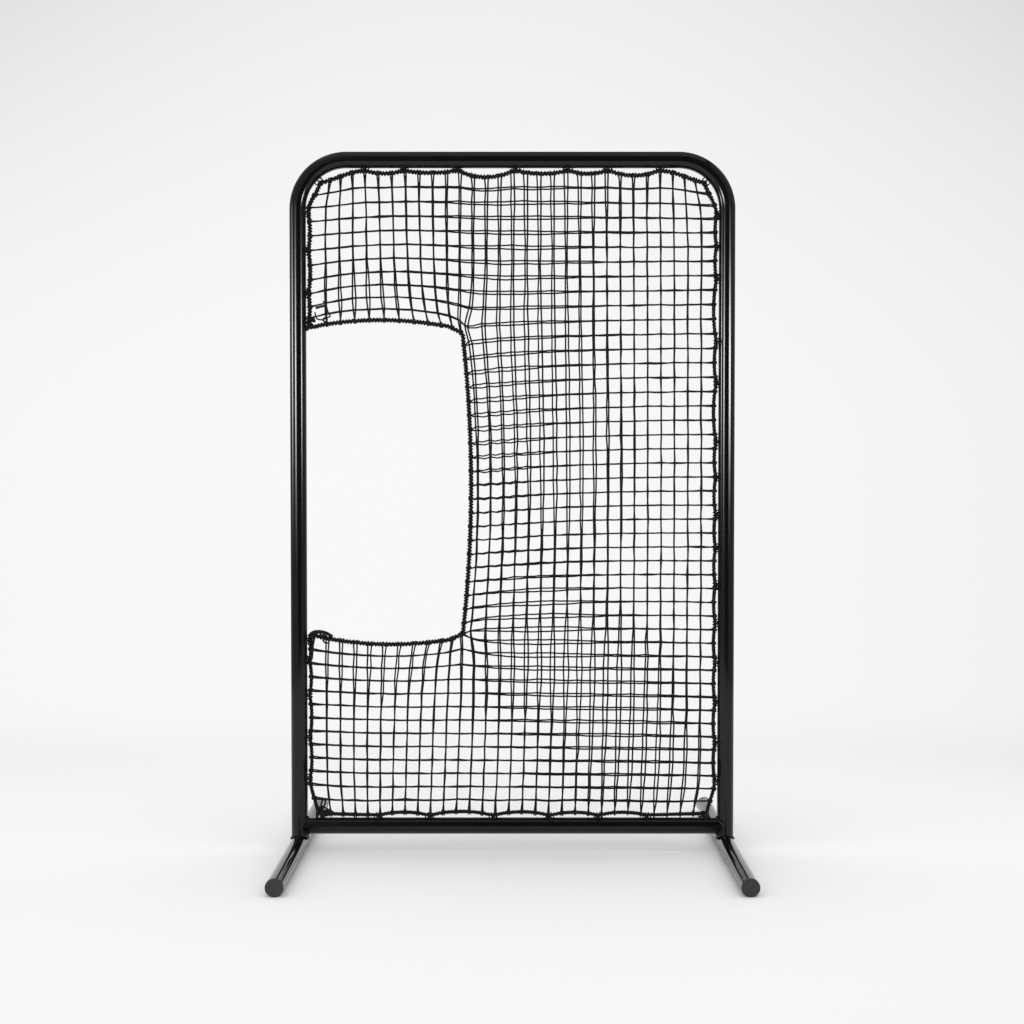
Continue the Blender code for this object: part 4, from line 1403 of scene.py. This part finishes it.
class PITCHING_SCREEN_OT_weld_beads(bpy.types.Operator):
    """Builds the weld beads at the posts' feet and the crossbar's ends"""

    bl_idname = "pitching_screen.weld_beads"
    bl_label = "Weld Beads"

    def execute(self, context):
        look = context.scene.screen_frame
        finish = coated_weld(look)
        for hand, side in (("left", -1), ("right", 1)):
            on_foot = bead_mesh(look, np.array((side * POST_X, 0.0, FOOT_Z)), UP, BACK, RIGHT)
            on_post = bead_mesh(look, np.array((side * POST_X, 0.0, CROSSBAR_Z)), -side * RIGHT, UP, BACK)
            for place, mesh in (("foot", on_foot), ("crossbar", on_post)):
                bead = add_piece(f"{hand}_{place}_bead", mesh, finish)
                hand_over(bead, "powder_coat", f"{hand}_{place}_weld")
        return {"FINISHED"}


class PITCHING_SCREEN_OT_eyelets(bpy.types.Operator):
    """Welds a wire eyelet behind every tie"""

    bl_idname = "pitching_screen.eyelets"
    bl_label = "Eyelets"

    def execute(self, context):
        look = context.scene.screen_frame
        sites = tie_sites(look)
        groups = {"post_and_bar_eyelets": [], "bend_eyelets": [], "crossbar_eyelets": sites["bottom"]}
        for row, found in sites.items():
            if row.endswith("bend"):
                groups["bend_eyelets"] += found
            elif row != "bottom":
                groups["post_and_bar_eyelets"] += found
        for name, found in groups.items():
            shape = eyelet_shape(look, found[0].slack)
            points = [site.centre for site in found]
            turns = [site.turn for site in found]
            hand_over(copied_piece(name, shape, points, turns, coat(look)), "powder_coat")
        return {"FINISHED"}


class PITCHING_SCREEN_OT_net(bpy.types.Operator):
    """Hangs both net layers on the rope's line"""

    bl_idname = "pitching_screen.net"
    bl_label = "Net"

    def execute(self, context):
        net = context.scene.screen_net
        cords = context.scene.screen_cords
        finish = twisted_cord("net_twine_finish", net.colour, strands=3, lay=0.012, relief=0.0003)
        runs, _ = rope_runs(context.scene.screen_frame, net, cords)
        grid = NetGrid(net, runs)
        for layer in ("front", "rear"):
            lines, hitches, turns = net_layer(grid, net, cords.rope, layer == "rear")
            strands = cord_piece(f"{layer}_net_twine", lines, net.twine, CORD_SIDES, finish)
            hand_over(strands, "net_twine", f"{layer}_net")
            shape = hitch_shape(cords.rope, net.twine)
            hand_over(copied_piece(f"{layer}_net_hitches", shape, hitches, turns, finish), "net_twine")
        return {"FINISHED"}


class PITCHING_SCREEN_OT_rope(bpy.types.Operator):
    """Lays the border rope's three strands and winds its whipping"""

    bl_idname = "pitching_screen.rope"
    bl_label = "Border Rope"

    def execute(self, context):
        net = context.scene.screen_net
        cords = context.scene.screen_cords
        _, loop = rope_runs(context.scene.screen_frame, net, cords)
        radius = cords.rope * STRAND_RADIUS
        finish = twisted_cord("rope_strand_finish", cords.colour, strands=4, lay=0.012, relief=0.0004)
        strands = cord_piece(
            "border_rope_strands", laid_strands(loop, cords, radius), radius * 2, CORD_SIDES, finish
        )
        hand_over(strands, "rope_cord", "border_rope")
        line, finish = whipping_line(loop, net, cords), tie_finish(cords)
        whipping = cord_piece("rope_whipping", [line], cords.whipping, WHIPPING_SIDES, finish)
        hand_over(whipping, "rope_cord")
        return {"FINISHED"}


class PITCHING_SCREEN_OT_lashings(bpy.types.Operator):
    """Ties the rope to every eyelet"""

    bl_idname = "pitching_screen.lashings"
    bl_label = "Lashings"

    def execute(self, context):
        look = context.scene.screen_frame
        cords = context.scene.screen_cords
        sites = tie_sites(look)
        groups = {
            "top_lashings": ("top",),
            "right_lashings": ("right",),
            "bottom_lashings": ("bottom",),
            "left_lashings": ("left_lower", "left_upper"),
            "bend_lashings": ("left_bend", "right_bend"),
        }
        rng = np.random.default_rng(TIE_SEED)
        for name, rows in groups.items():
            lines = []
            for row in rows:
                for site in sites[row]:
                    lines += lashing_lines(site, cords, look, rng)
            nodes = ["tie_corner_left", "tie_corner_right"]
            if name != "bend_lashings":
                nodes = [node for row in rows for node in row_names("tie_" + row)]
            piece = cord_piece(name, lines, cords.tie_cord, CORD_SIDES, tie_finish(cords))
            hand_over(piece, "rope_cord", *nodes)
        return {"FINISHED"}


class PITCHING_SCREEN_OT_corner_knots(bpy.types.Operator):
    """Ties the knots, loops and tails at the net's lower corners and by the opening"""

    bl_idname = "pitching_screen.corner_knots"
    bl_label = "Corner Knots"

    def execute(self, context):
        cords = context.scene.screen_cords
        edge = OpeningEdge(context.scene.screen_net, cords)
        front = -cords.rope / 2 - cords.tie_cord
        spots = {
            "right": (POST_X - RIGHT_SPOT[0], front, CROSSBAR_Z + RIGHT_SPOT[1]),
            "left": (LEFT_SPOT[0] - POST_X, front, CROSSBAR_Z + LEFT_SPOT[1]),
            "low": (edge.post, front, edge.bottom),
            "high": (edge.post, front, edge.top),
        }

        def placed(spot, across, up):
            return np.array(spots[spot]) + (across, 0, up)

        lines = []
        for spot, across, up, size, turn in CORNER_KNOTS:
            lines.append((overhand_knot(placed(spot, across, up), size, turn), 1.0, True))
        for spot, across, up, width, height, tilt in CORNER_LOOPS:
            lines.append((loose_loop(placed(spot, across, up), width, height, tilt), 1.0, True))
        per_span = 5
        for spot, thick, *points in CORNER_TAILS:
            path = smooth_path([placed(spot, *point) for point in points], per_span)
            lines.append((path, thick, False))
        thickness = cords.tie_cord * CORNER_CORD
        knots = cord_piece("corner_knots", lines, thickness, CORD_SIDES, tie_finish(cords))
        hand_over(knots, "rope_cord")
        return {"FINISHED"}


def aimed(name, data, place, target):
    """Links a lamp or camera that looks from its place to its target."""
    made = bpy.data.objects.new(name, data)
    bpy.context.scene.collection.objects.link(made)
    made.location = place
    made.rotation_euler = (Vector(target) - Vector(place)).to_track_quat("-Z", "Y").to_euler()
    return made


def softbox(name, place, target, width, height, radiance):
    """A rectangular soft light of an even radiance."""
    data = bpy.data.lights.new(name, "AREA")
    data.shape = "RECTANGLE"
    data.size = width
    data.size_y = height
    data.energy = radiance * width * height * math.pi
    return aimed(name, data, place, target)


def seen_plainly(tree):
    """1 for what the camera sees, also by a reflection or through glass, and 0 for light on surfaces."""
    ray = add_node(tree, "ShaderNodeLightPath").outputs
    mirrored = math_node(tree, "MAXIMUM", ray["Is Glossy Ray"], ray["Is Transmission Ray"])
    return math_node(tree, "MAXIMUM", ray["Is Camera Ray"], mirrored)


def bell(tree, value, middle, spread):
    """1 where the value is at its middle, falling smoothly to both sides."""
    away = math_node(tree, "DIVIDE", math_node(tree, "SUBTRACT", value, middle), spread)
    squared = math_node(tree, "POWER", math_node(tree, "ABSOLUTE", away), 2.0)
    return math_node(tree, "EXPONENT", math_node(tree, "MULTIPLY", squared, -1.0))


# The backdrop's painted light and shade, in shares of the distance from the eye: it runs to the edges of the
# camera's picture and stays even beyond them, and the painted shadow of the fold where it meets the floor
# lies below the eye's line
PICTURE_EDGE = 0.3
FOLD_SHADOW_LEVEL = -0.174
FOLD_SHADOW_SPREAD = 0.02


def backdrop_glow_and_shade(tree, stage, eye):
    """The pale backdrop's brightness with its painted light and shade, by how far each point lies across and
    up from the eye's line: lighter to the left, darker to its sides, top and corners, and a painted shadow
    at the fold where it meets the floor.
    """
    sight = add_node(tree, "ShaderNodeVectorMath", {0: object_place(tree), 1: eye}, operation="SUBTRACT")
    x, y, z = axes(tree, sight.outputs[0])
    away = math_node(tree, "ABSOLUTE", y)
    across = math_node(tree, "MINIMUM", math_node(tree, "DIVIDE", x, away), PICTURE_EDGE)
    across = math_node(tree, "MAXIMUM", across, -PICTURE_EDGE)
    level = math_node(tree, "DIVIDE", z, away)
    above = math_node(tree, "MINIMUM", math_node(tree, "MAXIMUM", level, 0.0), PICTURE_EDGE)
    sides = math_node(tree, "MULTIPLY", across, across)
    high = math_node(tree, "MULTIPLY", above, above)
    glow = stage.backdrop
    for part, share in (
        (across, stage.backdrop_light_lean),
        (sides, stage.backdrop_side_shade),
        (high, stage.backdrop_top_shade),
        (math_node(tree, "MULTIPLY", sides, high), stage.backdrop_corner_shade),
        (bell(tree, level, FOLD_SHADOW_LEVEL, FOLD_SHADOW_SPREAD), stage.backdrop_fold_shadow),
    ):
        glow = math_node(tree, "SUBTRACT", glow, math_node(tree, "MULTIPLY", part, share))
    return glow


def emission(tree, strength):
    """White light of a strength, which is a plain value or a node's output."""
    return add_node(tree, "ShaderNodeEmission", {"Strength": strength}).outputs[0]


def smoothly(tree, value, start, end, low, high):
    """From low to high as the value goes from start to end, with a soft start and end."""
    inputs = {"Value": value, "From Min": start, "From Max": end, "To Min": low, "To Max": high}
    spread = add_node(tree, "ShaderNodeMapRange", inputs, interpolation_type="SMOOTHSTEP")
    return spread.outputs["Result"]


def pale_world(stage):
    """Plain light from all round, with the pale background where it is seen."""
    world = bpy.data.worlds.new("studio")
    world.use_nodes = True
    # Light sent straight to the world would pass the dark walls, which throw no shadow
    world.cycles.sampling_method = "NONE"
    tree = world.node_tree
    shades = {0: seen_plainly(tree), 2: stage.room, 3: stage.backdrop}
    mix = add_node(tree, "ShaderNodeMix", shades, data_type="FLOAT")
    tree.links.new(mix.outputs[0], tree.nodes["Background"].inputs["Strength"])
    tree.nodes["Background"].inputs["Color"].default_value = (1.0, 1.0, 1.0, 1.0)
    bpy.context.scene.world = world


def pale_floor(stage, eye):
    """A matt floor that runs into the backdrop, away from the screen, where it glows with the backdrop's
    painted light and shade and the fold's painted shadow.
    """
    finish, tree, shader = new_finish("floor", stage.floor, specular=0.0)
    shader.inputs["Roughness"].default_value = 0.8
    by_screen, far_off = 1.2, 3.0
    distance = add_node(tree, "ShaderNodeVectorMath", {0: object_place(tree)}, operation="LENGTH")
    far = smoothly(tree, distance.outputs["Value"], by_screen, far_off, 0.0, 1.0)
    share = math_node(tree, "MULTIPLY", far, seen_plainly(tree))
    # Far off, the floor shows the backdrop's painted shade, with the painted shadow of the fold
    glow = emission(tree, backdrop_glow_and_shade(tree, stage, eye))
    blend = add_node(tree, "ShaderNodeMixShader", {0: share, 1: shader.outputs[0], 2: glow})
    tree.links.new(blend.outputs[0], tree.nodes["Material Output"].inputs["Surface"])
    return finish


def square_floor(finish):
    """The floor, wide enough that no view shows its end."""
    half = 40.0
    mesh = bpy.data.meshes.new("floor")
    corners = [(-half, -half, 0.0), (half, -half, 0.0), (half, half, 0.0), (-half, half, 0.0)]
    mesh.from_pydata(corners, [], [(0, 1, 2, 3)])
    add_piece("floor", mesh, finish)


def plain_sheet(name, corners, finish, gloss_only=True):
    """One flat stage sheet that lights nothing and throws no shadow."""
    mesh = bpy.data.meshes.new(name)
    mesh.from_pydata(corners, [], [tuple(range(len(corners)))])
    sheet = add_piece(name, mesh, finish)
    sheet.visible_diffuse = False
    sheet.visible_shadow = False
    sheet.visible_camera = not gloss_only


def glowing(name):
    """A material to be lit: itself, its tree with the output alone, and the way to its surface."""
    finish = bpy.data.materials.new(name)
    finish.use_nodes = True
    tree = finish.node_tree
    tree.nodes.remove(tree.nodes["Principled BSDF"])
    return finish, tree, tree.nodes["Material Output"].inputs["Surface"]


def backdrop(stage, eye):
    """The pale sheet far behind the screen."""
    finish, tree, surface = glowing("backdrop")
    # Its glow carries painted light and shade: lighter to the left, darker to its sides, top and corners
    tree.links.new(emission(tree, backdrop_glow_and_shade(tree, stage, eye)), surface)
    back, half, bottom, top = 12.0, 14.0, -0.5, 11.0
    corners = [(-half, back, bottom), (half, back, bottom), (half, back, top), (-half, back, top)]
    plain_sheet("backdrop", corners, finish, gloss_only=False)


def dark_walls(stage):
    """What gloss shows of the studio: dim walls, darker by the camera, open towards the backdrop."""
    finish, tree, surface = glowing("dark_walls")
    # The walls are darkest behind the camera, a little to its right, and full_reach aside of that
    # they are as bright as they get
    darkest_x, dark_reach, full_reach, darkest_share = 0.7, 1.1, 2.6, 0.03
    across = axes(tree, object_place(tree))["X"]
    aside = math_node(tree, "ABSOLUTE", math_node(tree, "SUBTRACT", across, darkest_x))
    dim = smoothly(tree, aside, dark_reach, full_reach, stage.walls * darkest_share, stage.walls)
    tree.links.new(emission(tree, dim), surface)
    radius, top, steps, gap = 4.6, 5.0, 28, math.radians(40)
    angles = [gap - math.pi + 2 * (math.pi - gap) * k / steps for k in range(steps + 1)]
    points = [(radius * math.sin(a), -radius * math.cos(a)) for a in angles]
    for k, (one, other) in enumerate(zip(points, points[1:])):
        wall = [(*one, 0.0), (*other, 0.0), (*other, top), (*one, top)]
        plain_sheet(f"dark_wall_{k}", wall, finish)
    plain_sheet("dark_ceiling", [(*point, top) for point in points], finish)


# The soft light over the screen: its middle, and its size across and along
OVERHEAD = (0.0, -0.6, 4.2)
OVERHEAD_SIZE = (3.6, 3.0)


def overhead_light(stage):
    """The light over the screen, and a sheet in its place for what gloss shows of it."""
    lamp = softbox("overhead", OVERHEAD, (*OVERHEAD[:2], 0.0), *OVERHEAD_SIZE, stage.overhead)
    lamp.visible_glossy = False
    finish, tree, surface = glowing("overhead_gloss")
    tree.links.new(emission(tree, stage.overhead_gloss), surface)
    x, y, z = OVERHEAD
    half, along = (extent / 2 for extent in OVERHEAD_SIZE)
    corners = [(x + a * half, y + b * along, z) for a, b in ((-1, -1), (1, -1), (1, 1), (-1, 1))]
    plain_sheet("overhead_gloss", corners, finish)


# Upright lights that only gloss shows: both edges on the plan, the height of the brightest place,
# how fast they fade from it, and their share of the strip lights' brightness
STRIP_LIGHTS = (
    ("right_strip", (1.56, -1.86), (3.71, -2.42), 1.66, 0.40, 1.0),
    ("left_strip", (-2.00, -3.60), (-2.90, -3.00), 1.69, 0.52, 0.86),
    ("left_side_strip", (-2.74, -0.72), (-2.66, -0.09), 1.70, 0.46, 0.62),
)


def strip_light(stage, name, near, far, middle, spread, share):
    """An upright light that only gloss shows, brightest in its middle."""
    finish, tree, surface = glowing(name)
    glow = bell(tree, axes(tree, object_place(tree))["Z"], middle, spread)
    tree.links.new(emission(tree, math_node(tree, "MULTIPLY", glow, stage.stripes * share)), surface)
    faded_out = 2.2
    low, high = middle - faded_out * spread, middle + faded_out * spread
    plain_sheet(name, [(*near, low), (*far, low), (*far, high), (*near, high)], finish)


class PITCHING_SCREEN_OT_stage(bpy.types.Operator):
    """Sets the camera, the floor and the studio light"""

    bl_idname = "pitching_screen.stage"
    bl_label = "Stage"

    def execute(self, context):
        stage = context.scene.screen_stage
        camera = bpy.data.cameras.new("camera")
        camera.sensor_width = 36.0
        camera.lens = stage.lens
        eye = Vector((stage.side, -stage.distance, stage.height))
        ahead = Vector((0.0, math.cos(stage.tilt), -math.sin(stage.tilt)))
        context.scene.camera = aimed("camera", camera, eye, eye + ahead)
        pale_world(stage)
        square_floor(pale_floor(stage, eye))
        backdrop(stage, eye)
        dark_walls(stage)
        overhead_light(stage)
        for strip in STRIP_LIGHTS:
            strip_light(stage, *strip)
        context.scene.view_settings.view_transform = "Standard"
        return {"FINISHED"}


OPERATORS = (
    PITCHING_SCREEN_OT_stage,
    PITCHING_SCREEN_OT_tubes,
    PITCHING_SCREEN_OT_plug_caps,
    PITCHING_SCREEN_OT_weld_beads,
    PITCHING_SCREEN_OT_eyelets,
    PITCHING_SCREEN_OT_net,
    PITCHING_SCREEN_OT_rope,
    PITCHING_SCREEN_OT_lashings,
    PITCHING_SCREEN_OT_corner_knots,
)
LOOKS = {
    "screen_frame": FrameLook,
    "screen_cap": CapLook,
    "screen_net": NetLook,
    "screen_cords": CordLook,
    "screen_stage": StageLook,
}


class PITCHING_SCREEN_PT_panel(bpy.types.Panel):
    """Lists the screen's pieces and their sizes"""

    bl_label = "Pitching Screen"
    bl_idname = "PITCHING_SCREEN_PT_panel"
    bl_space_type = "VIEW_3D"
    bl_region_type = "UI"
    bl_category = "Screen"

    def draw(self, context):
        for operator in OPERATORS:
            self.layout.operator(operator.bl_idname)
        for name, look in LOOKS.items():
            box = self.layout.box()
            for field in look.__annotations__:
                box.prop(getattr(context.scene, name), field)


def register():
    for made in (*LOOKS.values(), *OPERATORS, PITCHING_SCREEN_PT_panel):
        bpy.utils.register_class(made)
    for name, look in LOOKS.items():
        setattr(bpy.types.Scene, name, PointerProperty(type=look))


def unregister():
    for name in LOOKS:
        delattr(bpy.types.Scene, name)
    for made in (PITCHING_SCREEN_PT_panel, *reversed(OPERATORS), *reversed(LOOKS.values())):
        bpy.utils.unregister_class(made)


def main():
    register()
    for operator in OPERATORS:
        group, name = operator.bl_idname.split(".")
        getattr(getattr(bpy.ops, group), name)()


if __name__ == "__main__":
    main()
